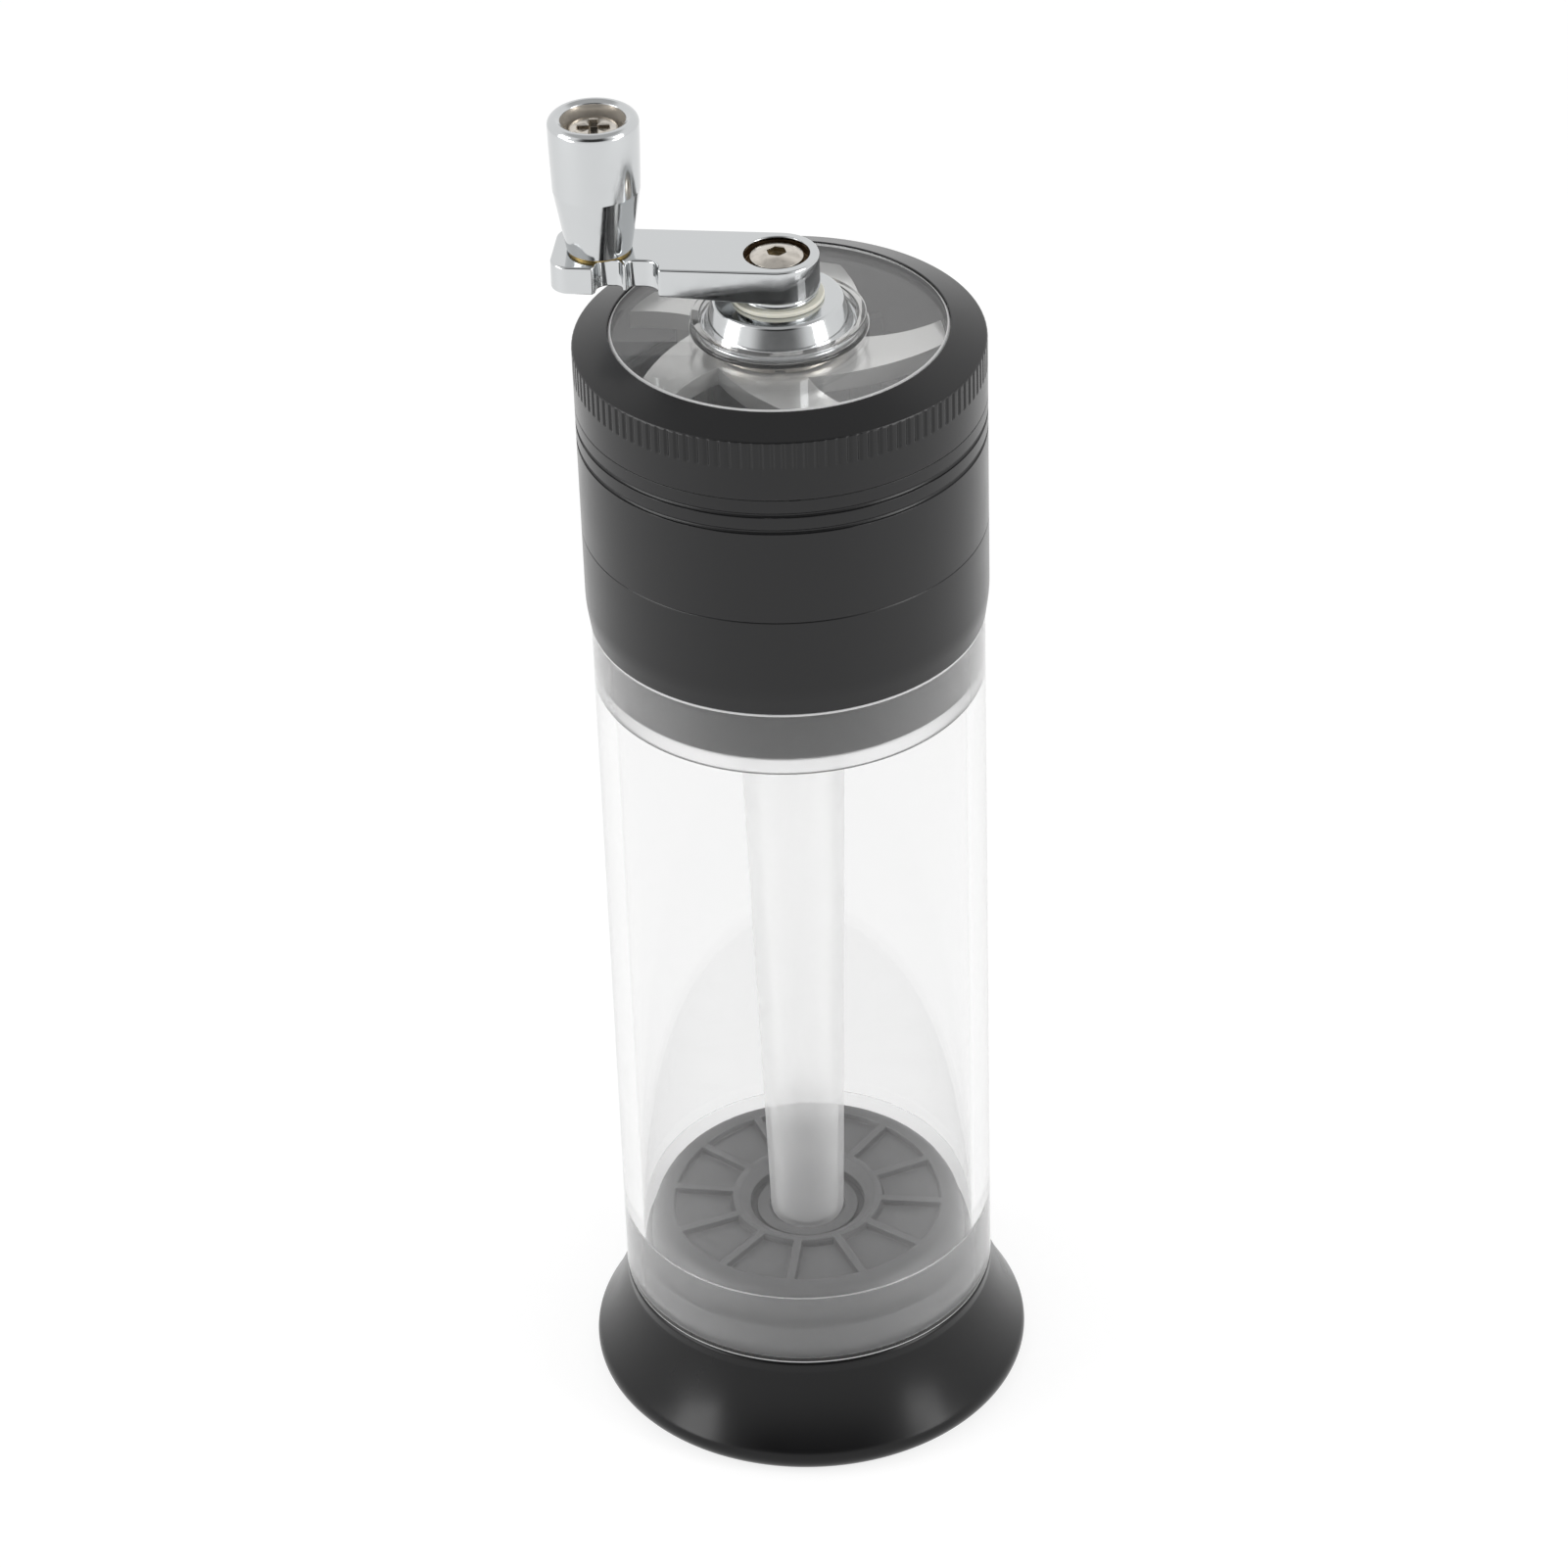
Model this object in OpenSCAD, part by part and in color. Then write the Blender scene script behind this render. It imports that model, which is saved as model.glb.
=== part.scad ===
// Hand cranked spice mill: a two-storey metal grinding head on a clear tube,
// with a removable fill tube inside and a flared foot.
// The origin is the centre of the face it stands on, and +Z is up.

/* [Clear tube] */
// Outer diameter of the clear tube
tube_od = 60; // [56:0.5:70]
// Wall of the clear tube
tube_wall = 3; // [2.6:0.1:4]
// Length of the clear tube
tube_len = 125.5; // [100:0.5:150]
// How far the two turned end seats are bored into the wall
seat_step = 0.5; // [0.4:0.05:0.8]
// Depth of the seat at the foot
low_seat = 12.3; // [9.5:0.1:14]
// Depth of the seat at the head
high_seat = 11.8; // [9.5:0.1:14]

/* [Foot] */
// Widest diameter of the flared foot
foot_d = 71; // [68:0.5:90]
// Height of the foot up to the clear tube
foot_h = 19.1; // [17:0.1:26]
// Radius of the foot's rounded lip
foot_lip_r = 2.9; // [2:0.1:4]
// Radius of the foot's hollow flank
foot_flank_r = 50; // [40:1:120]
// Height of the short straight neck at the top of the foot
foot_neck_h = 2; // [1:0.1:4]
// Thickness of the foot's top plate
foot_plate = 4; // [3:0.1:6]
// Thickness of the foot's wall, at its thinnest
foot_wall = 3.5; // [2.5:0.1:4.5]
// Thickness of the rubber pad
pad_t = 1.5; // [1:0.1:2.5]
// How far the rubber pad stands out below the foot
pad_proud = 0.3; // [0.2:0.05:0.6]
// Width of the foot's rim around the pad
pad_rim = 1.8; // [1.4:0.1:2.2]

/* [Foot screws] */
// Number of screws that hold the plug to the foot
foot_screw_n = 3; // [3:1:6]
// Diameter of these screws
foot_screw_d = 3; // [2.5:0.1:4]
// Length of thread in the plug
foot_screw_grip = 6; // [4:0.1:6.5]
// Distance of each screw from the centre line
foot_screw_at = 17.5; // [15:0.5:20]
// Diameter of the screw heads
foot_head_d = 5.6; // [5:0.1:7]
// Height of the screw heads
foot_head_h = 2.2; // [1.6:0.1:3]
// Width across the flats of their hexagon sockets
foot_hex_w = 2; // [1.5:0.1:2.5]

/* [Plug] */
// Height of the plug above the foot
plug_h = 12; // [11.8:0.1:17]
// Height of the plug's wide foot that the clear tube sits on
plug_grip_h = 6; // [4:0.1:8]
// Rounding of the plug's upper edge
plug_round = 2.6; // [1:0.1:3.4]
// How far the plug's upper end stays clear of the clear tube
plug_play = 1.3; // [0.8:0.1:1.6]
// Number of ribs, and of pockets between them
rib_n = 12; // [8:1:16]
// Width of one rib
rib_w = 1.5; // [1:0.1:2.2]
// Turn of the first rib
rib_turn = 22; // [0:1:30]
// Depth of the pockets
pocket_depth = 1; // [0.6:0.1:1.4]
// Inner diameter of the ring of pockets
pocket_in_d = 25; // [24:0.2:28]
// Outer diameter of the ring of pockets
pocket_out_d = 43.6; // [40:0.2:47]
// Diameter of the well around the fill tube
well_d = 18.6; // [18:0.1:19.4]
// Depth of the well below the ribs
well_depth = 2.6; // [2.4:0.1:3.4]
// Width of the sloping edge around the well
well_slope_w = 1.8; // [1:0.1:2.1]
// Depth of this sloping edge
well_slope_depth = 1.3; // [0.8:0.1:1.8]
// Outer diameter of the raised ring in the well
well_ring_d = 16.6; // [16:0.1:17.4]
// Height of the raised ring in the well
well_ring_h = 0.5; // [0.3:0.1:1]
// Depth of the fill tube's socket below the ribs
socket_depth = 3.6; // [3.4:0.1:4.6]

/* [Fill tube] */
// Outer diameter of the fill tube where it rounds into its foot
fill_low_d = 11.8; // [11.4:0.1:13.4]
// Outer diameter of the fill tube's mouth
fill_top_d = 17; // [16:0.1:19]
// Wall of the fill tube
fill_wall = 0.9; // [0.7:0.05:1.1]
// Rounding of the fill tube's closed foot
fill_round = 2; // [1.4:0.1:3]
// How far the fill tube's mouth stops below the funnel's cone
fill_stop = 2; // [0.5:0.1:4]

/* [Collar and funnel] */
// How far the grinding head stands out beyond the clear tube
head_proud = 0.65; // [0.3:0.05:1.5]
// Height of the collar
collar_h = 16.4; // [15:0.1:24]
// How much narrower the collar is at its lower edge
collar_taper = 1; // [0.4:0.1:1.4]
// Width of the broken edges where the head's storeys meet
head_edge = 0.25; // [0.1:0.05:0.5]
// Wall around the joints where the head's storeys plug together
joint_wall = 2.15; // [1.8:0.05:2.5]
// Depth of the chamber's skirt in the collar
skirt_depth = 6; // [4:0.1:7]
// Thickness of the floor that carries spigot and funnel
collar_floor = 3.6; // [2.5:0.1:4.2]
// How far the spigot reaches down into the clear tube
spigot_depth = 9.9; // [8.5:0.1:10.5]
// Wall of the spigot
spigot_wall = 2.4; // [2.1:0.1:3]
// Chamfer at the spigot's lower end
spigot_chamfer = 1; // [0.4:0.1:1.6]
// Thickness of the flanges of spigot and funnel
flange_t = 1.6; // [1.2:0.1:2]
// Depth of the funnel's cone
cone_depth = 9; // [7:0.1:12]
// Outer diameter of the funnel's spout
spout_d = 14.4; // [13.6:0.1:14.8]
// Length of the funnel's spout
spout_len = 11; // [8:0.1:14]
// Wall of the funnel
funnel_wall = 1; // [0.8:0.05:1.3]

/* [Grinding chamber] */
// Height of the chamber's outside
chamber_h = 20.8; // [19:0.1:28]
// Wall of the chamber around the teeth
chamber_wall = 3.6; // [3.2:0.1:4.4]
// Thickness of the perforated floor
chamber_floor = 3; // [2.4:0.1:4]
// Depth of the floor's upper face below the chamber's upper edge
chamber_depth = 5.4; // [4:0.1:7]
// Radius of the turned grooves around the chamber
groove_r = 0.4; // [0.25:0.05:0.6]
// Distance from the chamber's upper edge to the first groove
groove_drop = 2.5; // [2:0.1:4]
// Distance between the two grooves
groove_pitch = 2.8; // [2:0.1:4]
// Number of outer drop holes
hole_n = 14; // [8:1:18]
// Number of inner drop holes
inner_hole_n = 6; // [4:1:10]
// Diameter of the drop holes
hole_d = 3.8; // [3:0.1:4]
// Circumscribed diameter of the diamond teeth
tooth_d = 3; // [2.4:0.1:3.2]
// Number of teeth in the chamber's outer ring
outer_tooth_n = 10; // [6:1:14]
// Number of teeth in the chamber's inner ring
inner_tooth_n = 8; // [5:1:9]
// Height of the chamber's teeth
tooth_h = 5; // [3:0.1:7]
// Distance from one ring of teeth to the next
ring_step = 4.2; // [3.6:0.1:4.3]
// Diameter of the two magnets that hold the lid down
magnet_d = 8; // [6:0.1:10]
// Thickness of each magnet
magnet_t = 2; // [1.5:0.1:2.4]

/* [Lid] */
// Height of the lid, up to the window
lid_h = 11.8; // [10.6:0.1:15]
// Fall of the lid's upper face from the window to its edge
lid_fall = 2.1; // [1.4:0.1:2.4]
// Height of the plain band below the flutes
lid_band = 5.2; // [4.6:0.1:6]
// Height of the fluted band
flute_h = 4.3; // [3:0.1:4.4]
// Number of flutes
flute_n = 120; // [60:4:140]
// Radius of one flute
flute_r = 0.45; // [0.3:0.05:0.6]
// Depth of the lid's spigot in the chamber
lid_spigot_h = 4.3; // [2:0.1:5]
// Wall of the lid's spigot
lid_spigot_wall = 1.3; // [1:0.05:1.4]
// Width of the lid's rim around the window
lid_rim = 5.45; // [5.1:0.05:6.5]
// Thickness of the window
window_t = 2.8; // [2.4:0.1:3.4]
// Thickness of the window's rim under the lid's ledge
window_rim_t = 1.2; // [0.8:0.1:1.6]
// Width of the window's rim
window_rim_w = 1.6; // [1:0.1:1.9]
// Thickness of the gasket between window rim and lid
gasket_t = 0.4; // [0.2:0.05:0.6]
// Height of the ring that keeps the window up
retainer_h = 2; // [1.4:0.1:3]
// Width of this ring
retainer_w = 2; // [1.4:0.1:2.4]
// Outer diameter of the raised clear ring around the hub
boss_d = 26; // [25:0.2:30]
// Height of this ring above the window
boss_h = 1.9; // [1:0.1:3]

/* [Hub] */
// Diameter of the hub bush at its foot
hub_d = 23; // [21:0.1:23.8]
// Diameter of the hub bush at its shoulder
hub_top_d = 19.2; // [16:0.1:20]
// Height of the hub bush above the window
hub_h = 4.7; // [3.6:0.1:7]
// Height of the hub bush's straight foot
hub_foot_h = 0.7; // [0.4:0.1:1.4]
// Rounding of the hub bush's shoulder
hub_round = 0.7; // [0.3:0.1:1]
// Diameter of the hub bush's neck through the window
hub_neck_d = 14; // [12:0.1:16]
// Thickness of the nut under the window
hub_nut_t = 1.5; // [1:0.1:2]
// Outer diameter of the nut under the window
hub_nut_d = 20; // [18:0.1:22]
// Number of spanner notches in this nut
nut_notch_n = 4; // [2:1:8]
// Radius of the spanner notches
nut_notch_r = 0.8; // [0.5:0.1:1.2]
// Diameter of the drive shaft
shaft_d = 8; // [7:0.1:9]
// Outer diameter of the nylon washer
nylon_d = 13.7; // [12.8:0.1:15]
// Thickness of the nylon washer
nylon_t = 0.7; // [0.4:0.05:1.2]
// Thickness of the steel thrust washer
thrust_t = 0.5; // [0.3:0.05:0.8]

/* [Rotor] */
// Gap between the tips of the blades and the chamber's wall
blade_gap = 2.65; // [2.4:0.05:3.5]
// Thickness of the blades
blade_t = 2.8; // [2:0.1:3.4]
// Number of blades
blade_n = 5; // [4:1:5]
// Diameter of the rotor's hub
rotor_hub_d = 22; // [20:0.2:24]
// Turn of the first blade's tip
blade_turn = 3; // [0:1:30]
// Distance from the blade tips to the middle of the rotor's outer teeth
tooth_inset = 3.9; // [3.5:0.1:4.5]
// Angle by which the rotor's outer teeth follow the blade tips
outer_tooth_lag = 13; // [11:0.5:14]
// Angle by which the rotor's inner teeth follow the blade tips
inner_tooth_lag = 19; // [16:0.5:30]
// Wall around the rotor's magnet
magnet_wall = 1.5; // [1:0.1:2.5]
// Bend radius of a blade's hollow edge
blade_lead_r = 20; // [17:0.5:30]
// Bend radius of a blade's bulging edge
blade_trail_r = 36; // [32:0.5:50]
// Angle that the blade's tip takes up
blade_tip_angle = 16; // [12:0.5:18]
// Gap between the rotor's teeth and the chamber's floor
rotor_gap = 0.8; // [0.4:0.1:1.4]

/* [Crank] */
// Distance from the drive shaft to the knob
crank_reach = 26; // [24:0.1:45]
// Direction of the crank from +X
crank_turn = 173; // [160:1:180]
// Width of the crank arm
arm_w = 12.6; // [12:0.1:15]
// Thickness of the crank arm
arm_t = 4.4; // [3.6:0.1:6]
// How far the arm runs on past the knob's centre line
arm_end = 6.9; // [6:0.1:8]
// Rounding of the arm's corners at the knob
arm_corner = 3; // [2:0.1:4]
// Diameter of the neck under the arm
neck_d = 12; // [11:0.1:12.4]
// Height of the neck under the arm
neck_h = 2.1; // [1.6:0.1:4]
// How much deeper the arm is at the drive shaft than at the knob
arm_sag = 1; // [0.4:0.1:1.4]
// Half width that is left at the arm's scalloped waist
waist_half = 3.5; // [2.5:0.1:4.5]
// Radius of the scallop next to the knob
near_scallop_r = 2.05; // [1.5:0.05:2.2]
// Radius of the scallop on the hub side
far_scallop_r = 2.55; // [1.8:0.05:2.8]
// Half width over the small horn between the scallops
horn_half = 4.95; // [4.8:0.05:5.4]
// Width across the flats of the shaft's square end
square_w = 5.6; // [4.8:0.1:6]
// Height of the shaft's square end in the arm
square_h = 2.2; // [1.6:0.1:2.3]
// Diameter of the arm screw
arm_screw_d = 4; // [3:0.1:4.2]
// Length of the arm screw below its head
arm_screw_len = 9; // [6:0.1:12]
// Diameter of the arm screw's head
arm_head_d = 7.9; // [7:0.1:8.8]
// Height of the arm screw's head
arm_head_h = 2.1; // [1.6:0.1:2.6]
// Height of the dome on that head
arm_dome_h = 0.9; // [0.5:0.1:1.3]
// Diameter of the counterbore for the arm screw's head
arm_bore_d = 9.7; // [9:0.1:10.4]
// Depth of that counterbore
arm_bore_depth = 1.7; // [1:0.1:2]
// Width across the flats of the hexagon socket
hex_w = 2.6; // [2:0.1:3]

/* [Knob] */
// Height of the knob
knob_h = 21.1; // [18:0.1:28]
// Diameter of the knob at its foot
knob_foot_d = 9.7; // [9:0.1:10.6]
// Diameter of the knob where its cone ends
knob_mid_d = 12.9; // [11.4:0.1:13.2]
// Height of the knob's cone
knob_cone_h = 9.7; // [7:0.1:12]
// Diameter of the knob at its rim
knob_d = 13.4; // [12.6:0.1:16]
// Rounding of the knob's rim
knob_rim_r = 1.1; // [0.6:0.1:1.2]
// Diameter of the recess in the knob's top
recess_d = 9.4; // [8.6:0.1:9.8]
// Depth of the recess in the knob's top
recess_depth = 4; // [3.4:0.1:6]
// Diameter of the shoulder that the knob turns on
pivot_d = 5; // [4:0.1:5.6]
// Diameter of the knob screw's thread in the arm
knob_thread_d = 4; // [3:0.1:4.4]
// Length of the knob screw's thread
knob_thread_len = 4; // [3:0.1:4.2]
// Diameter of the knob screw's head
knob_head_d = 7.4; // [6.6:0.1:8]
// Height of the knob screw's head
knob_head_h = 2.2; // [1.6:0.1:2.8]
// Length of the two slots that cross in this head
cross_len = 4.8; // [3:0.1:6]
// Width of these slots
cross_w = 1.2; // [0.8:0.1:1.6]
// Depth of these slots
cross_depth = 1.2; // [0.6:0.1:1.4]
// Diameter of the brass washer under the knob
brass_d = 9; // [8:0.1:9.2]
// Thickness of the brass washer
brass_t = 0.4; // [0.2:0.05:0.8]

/* [Fits] */
// Radial clearance where one piece slides or turns in another
slide_fit = 0.05; // [0.03:0.01:0.08]
// Clearance around pieces that don't bear on their neighbour
free_gap = 0.3; // [0.2:0.05:0.4]
// Clearance around glued pieces and screws that pass through
snug_gap = 0.15; // [0.1:0.05:0.2]

/* [Hidden] */
$fn = 96;
tiny_cut = 1;

// Radii that several pieces share
tube_r = tube_od / 2;
bore_r = tube_r - tube_wall;
seat_r = bore_r + seat_step;
head_r = tube_r + head_proud;
joint_r = head_r - joint_wall;
skirt_r = joint_r - slide_fit;
shaft_r = shaft_d / 2;
bush_r = shaft_r + slide_fit;

// Heights from the foot up to the collar
tube_z = foot_h;
low_step_z = tube_z + low_seat;
plug_top = foot_h + plug_h;
pocket_z = plug_top - pocket_depth;
well_z = plug_top - well_depth;
socket_z = plug_top - socket_depth;
collar_z = tube_z + tube_len;
high_step_z = collar_z - high_seat;
pad_z = pad_t;
foot_base = pad_proud;

// Heights of the head's storeys
floor_z = collar_z + collar_floor;
funnel_z = floor_z + flange_t;
cone_z = funnel_z - cone_depth;
spout_z = cone_z - spout_len;
chamber_z = collar_z + collar_h;
skirt_z = chamber_z - skirt_depth;
lid_z = chamber_z + chamber_h;
grind_z = lid_z - chamber_depth;
under_z = grind_z - chamber_floor;
spigot_low_z = lid_z - lid_spigot_h;
window_top = lid_z + lid_h;
window_z = window_top - window_t;
lid_edge_z = window_top - lid_fall;
ledge_z = window_z + window_rim_t + gasket_t;

// Heights of hub, shaft, rotor, arm and knob
hub_top = window_top + hub_h;
neck_z = hub_top + nylon_t;
arm_z = neck_z + neck_h;
arm_top = arm_z + arm_t;
arm_floor = arm_top - arm_bore_depth;
square_top = arm_z + square_h;
nut_z = window_z - hub_nut_t;
rotor_top = nut_z - free_gap;
rotor_z = rotor_top - blade_t;
thrust_z = rotor_top;
bush_z = thrust_z + thrust_t;
rotor_tooth_z = grind_z + rotor_gap;
knob_z = arm_top + brass_t;
knob_top = knob_z + knob_h;
recess_z = knob_top - recess_depth;

// Radii worked out from their neighbours
plug_r = seat_r - slide_fit;
plug_neck_r = bore_r - plug_play;
plug_neck_z = foot_h + plug_grip_h;
pad_r = foot_d / 2 - foot_lip_r - pad_rim;
foot_hollow_r = tube_r - foot_wall;
socket_r = fill_low_d / 2 + free_gap;
well_slope_r = well_d / 2 + well_slope_w;
fill_z = socket_z;
fill_top = cone_z - fill_stop;
window_r = head_r - lid_rim;
window_rim_r = window_r + window_rim_w;
lid_bore_r = joint_r - lid_spigot_wall;
chamber_r = head_r - chamber_wall;
spigot_r = seat_r - slide_fit;
spigot_in_r = spigot_r - spigot_wall;
boss_r = boss_d / 2;
hub_r = hub_d / 2;
hub_top_r = hub_top_d / 2;
hub_neck_r = hub_neck_d / 2;
rotor_r = chamber_r - blade_gap;
rotor_hub_r = rotor_hub_d / 2;

// The rotor's two rings of teeth and the chamber's two rings take turns
tooth_r = tooth_d / 2;
rotor_outer_ring_r = rotor_r - tooth_inset;
outer_ring_r = rotor_outer_ring_r + ring_step;
inner_ring_r = rotor_outer_ring_r - ring_step;
rotor_inner_ring_r = inner_ring_r - ring_step;

// Colours as the photograph shows them
matt_black = "#2e2e30";
gloss_black = "#1c1c1e";
plug_grey = "#3a3b3c";
clear = [0.9, 0.93, 0.95, 0.3];
milky = [0.86, 0.88, 0.9, 0.6];
chrome = "#d4d6d8";
steel = "#b4b2ae";
nylon_white = "#e6e2cf";
brass = "#b59a5a";
rubber = "#202020";

// The point at distance a from p and b from q, on the left of the way from p to q
function meet(p, a, q, b) =
    let (
        run = q - p,
        gap = norm(run),
        along = (a * a - b * b + gap * gap) / (2 * gap),
        off = sqrt(a * a - along * along)
    )
    p + (along * run + off * [-run[1], run[0]]) / gap;

// A point at radius r and angle a
function polar(r, a) = [r * cos(a), r * sin(a)];

// Circumscribed diameter of a hexagon of width w across its flats
function hexagon_d(w) = w / cos(30);

// A disc from height low to height high
module disc(r, low, high) {
    translate([0, 0, low])
        cylinder(r = r, h = high - low);
}

// A round hole right through, from height low to height high
module bore(r, low, high) {
    disc(r, low - tiny_cut, high + tiny_cut);
}

// A round hole that ends at height low and opens upwards past height high
module well(r, low, high) {
    disc(r, low, high + tiny_cut);
}

// A round hole that opens downwards past height low and ends at height high
module cavity(r, low, high) {
    disc(r, low - tiny_cut, high);
}

// A square post of width w, from height low to height high
module square_post(w, low, high) {
    translate([-w / 2, -w / 2, low])
        cube([w, w, high - low]);
}

// A plain ring with square edges
module ring(r_out, r_in, low, high) {
    difference() {
        disc(r_out, low, high);
        bore(r_in, low, high);
    }
}

// Copies of a child on a circle
module around(count, r, turn = 0) {
    for (i = [0 : count - 1])
        rotate([0, 0, turn + i * 360 / count])
            translate([r, 0, 0])
                children();
}

// Flared outer shape of the foot, in section
module foot_section() {
    lip_at = [foot_d / 2 - foot_lip_r, foot_base + foot_lip_r];
    flank_high = [tube_r, foot_h - foot_neck_h];
    flank_at = meet(flank_high, foot_flank_r, lip_at, foot_flank_r + foot_lip_r);
    flank_low = lip_at + foot_lip_r * (flank_at - lip_at) / norm(flank_at - lip_at);
    translate(lip_at)
        circle(r = foot_lip_r);
    translate([0, foot_base])
        square([lip_at[0], foot_lip_r]);
    translate([0, foot_base + foot_lip_r / 2])
        square([tube_r, foot_h - foot_base - foot_lip_r / 2]);
    difference() {
        polygon([
            [0, foot_base], [lip_at[0], foot_base], lip_at, flank_low,
            [flank_low[0], flank_high[1]], [0, flank_high[1]]
        ]);
        translate(flank_at)
            circle(r = foot_flank_r, $fn = 360);
    }
}

module foot_flare() {
    color(gloss_black)
        difference() {
            rotate_extrude()
                foot_section();
            cavity(pad_r + snug_gap, foot_base, pad_z);
            cavity(foot_hollow_r, pad_z, foot_h - foot_plate);
            around(foot_screw_n, foot_screw_at)
                bore(foot_screw_d / 2 + snug_gap, foot_base, foot_h);
        }
}

module foot_pad() {
    color(rubber)
        disc(pad_r, 0, pad_z);
}

module foot_screws() {
    plate_z = foot_h - foot_plate;
    color(steel)
        around(foot_screw_n, foot_screw_at)
            difference() {
                union() {
                    disc(foot_head_d / 2, plate_z - foot_head_h, plate_z);
                    disc(foot_screw_d / 2, plate_z - tiny_cut / 2, foot_h + foot_screw_grip);
                }
                translate([0, 0, plate_z - foot_head_h - tiny_cut])
                    cylinder(d = hexagon_d(foot_hex_w), h = foot_head_h / 2 + tiny_cut, $fn = 6);
            }
}

// One pocket between two ribs
module pocket(turn) {
    half = 180 / rib_n;
    inset = rib_w / 2;
    near = pocket_in_d / 2;
    far = pocket_out_d / 2;
    rotate([0, 0, turn + half])
        translate([0, 0, pocket_z])
            linear_extrude(height = pocket_depth + tiny_cut)
                intersection() {
                    difference() {
                        circle(r = far);
                        circle(r = near);
                    }
                    translate([inset / sin(half), 0])
                        polygon([[0, 0], 2 * polar(far, half), 2 * polar(far, -half)]);
                }
}

module tube_plug() {
    color(plug_grey)
        difference() {
            union() {
                disc(plug_r, foot_h, plug_neck_z);
                disc(plug_neck_r, foot_h, plug_top - plug_round);
                disc(plug_neck_r - plug_round, foot_h, plug_top);
                translate([0, 0, plug_top - plug_round])
                    rotate_extrude()
                        translate([plug_neck_r - plug_round, 0])
                            circle(r = plug_round, $fn = 48);
            }
            for (i = [0 : rib_n - 1])
                pocket(rib_turn + i * 360 / rib_n);
            difference() {
                well(well_d / 2, well_z, plug_top);
                disc(well_ring_d / 2, well_z - tiny_cut, well_z + well_ring_h);
            }
            translate([0, 0, plug_top - well_slope_depth])
                cylinder(r1 = well_d / 2, r2 = well_slope_r, h = well_slope_depth);
            well(socket_r, socket_z, plug_top);
            around(foot_screw_n, foot_screw_at)
                cavity(foot_screw_d / 2, foot_h, foot_h + foot_screw_grip);
        }
}

// The fill tube's section, drawn smaller by its wall for the inside
module fill_section(wall) {
    low_r = fill_low_d / 2 - wall;
    top_r = fill_top_d / 2 - wall;
    round_r = fill_round - wall;
    foot_at = [low_r - round_r, fill_z + fill_round];
    translate(foot_at)
        circle(r = round_r, $fn = 48);
    translate([0, fill_z + wall])
        square([foot_at[0], fill_round]);
    polygon([[0, foot_at[1]], [low_r, foot_at[1]], [top_r, fill_top], [0, fill_top]]);
}

module fill_tube() {
    color(milky)
        difference() {
            rotate_extrude()
                fill_section(0);
            rotate_extrude()
                fill_section(fill_wall);
            well(fill_top_d / 2 - fill_wall, fill_top - tiny_cut / 2, fill_top);
        }
}

module clear_tube() {
    color(clear)
        difference() {
            disc(tube_r, tube_z, collar_z);
            bore(bore_r, tube_z, collar_z);
            cavity(seat_r, tube_z, low_step_z);
            well(seat_r, high_step_z, collar_z);
        }
}

module head_collar() {
    low_r = head_r - collar_taper / 2;
    color(matt_black)
        difference() {
            rotate_extrude()
                polygon([
                    [0, collar_z], [low_r, collar_z], [head_r, collar_z + collar_floor],
                    [head_r, chamber_z - head_edge], [head_r - head_edge, chamber_z],
                    [0, chamber_z]
                ]);
            well(joint_r, floor_z, chamber_z);
            bore(spigot_r + slide_fit, collar_z, floor_z);
        }
}

module tube_spigot() {
    low_z = collar_z - spigot_depth;
    color(matt_black)
        difference() {
            union() {
                disc(spigot_r, low_z + spigot_chamfer, floor_z + flange_t / 2);
                disc(skirt_r, floor_z, funnel_z);
                translate([0, 0, low_z])
                    cylinder(r1 = spigot_r - spigot_chamfer, r2 = spigot_r, h = spigot_chamfer);
            }
            bore(spigot_in_r, low_z, funnel_z);
        }
}

module funnel() {
    cone_r = spigot_in_r - free_gap;
    spout_r = spout_d / 2;
    lip_z = funnel_z + flange_t;
    color(matt_black)
        rotate_extrude()
            polygon([
                [skirt_r, funnel_z], [skirt_r, lip_z], [cone_r, lip_z],
                [spout_r - funnel_wall, cone_z + funnel_wall], [spout_r - funnel_wall, spout_z],
                [spout_r, spout_z], [spout_r, cone_z], [cone_r, funnel_z]
            ]);
}

// One diamond-shaped grinding tooth from height low to height high
module tooth(low, high) {
    translate([0, 0, low])
        cylinder(r = tooth_r, h = high - low, $fn = 4);
}

module grinding_chamber() {
    color(matt_black)
        difference() {
            union() {
                difference() {
                    union() {
                        disc(head_r, chamber_z, lid_z);
                        disc(skirt_r, skirt_z, chamber_z + tiny_cut);
                    }
                    well(chamber_r, grind_z, lid_z);
                    well(joint_r, spigot_low_z - free_gap, lid_z);
                    cavity(chamber_r - free_gap, skirt_z, under_z);
                    for (i = [0 : 1])
                        translate([0, 0, lid_z - groove_drop - i * groove_pitch])
                            rotate_extrude()
                                translate([head_r, 0])
                                    circle(r = groove_r, $fn = 24);
                }
                around(outer_tooth_n, outer_ring_r, 180 / outer_tooth_n)
                    tooth(grind_z - tiny_cut, grind_z + tooth_h);
                around(inner_tooth_n, inner_ring_r)
                    tooth(grind_z - tiny_cut, grind_z + tooth_h);
            }
            around(hole_n, rotor_outer_ring_r)
                bore(hole_d / 2, under_z, grind_z);
            around(inner_hole_n, rotor_inner_ring_r)
                bore(hole_d / 2, under_z, grind_z);
            well(magnet_d / 2 + slide_fit, grind_z - magnet_t, grind_z);
        }
}

module chamber_magnet() {
    color(steel)
        disc(magnet_d / 2, grind_z - magnet_t, grind_z);
}

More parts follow.
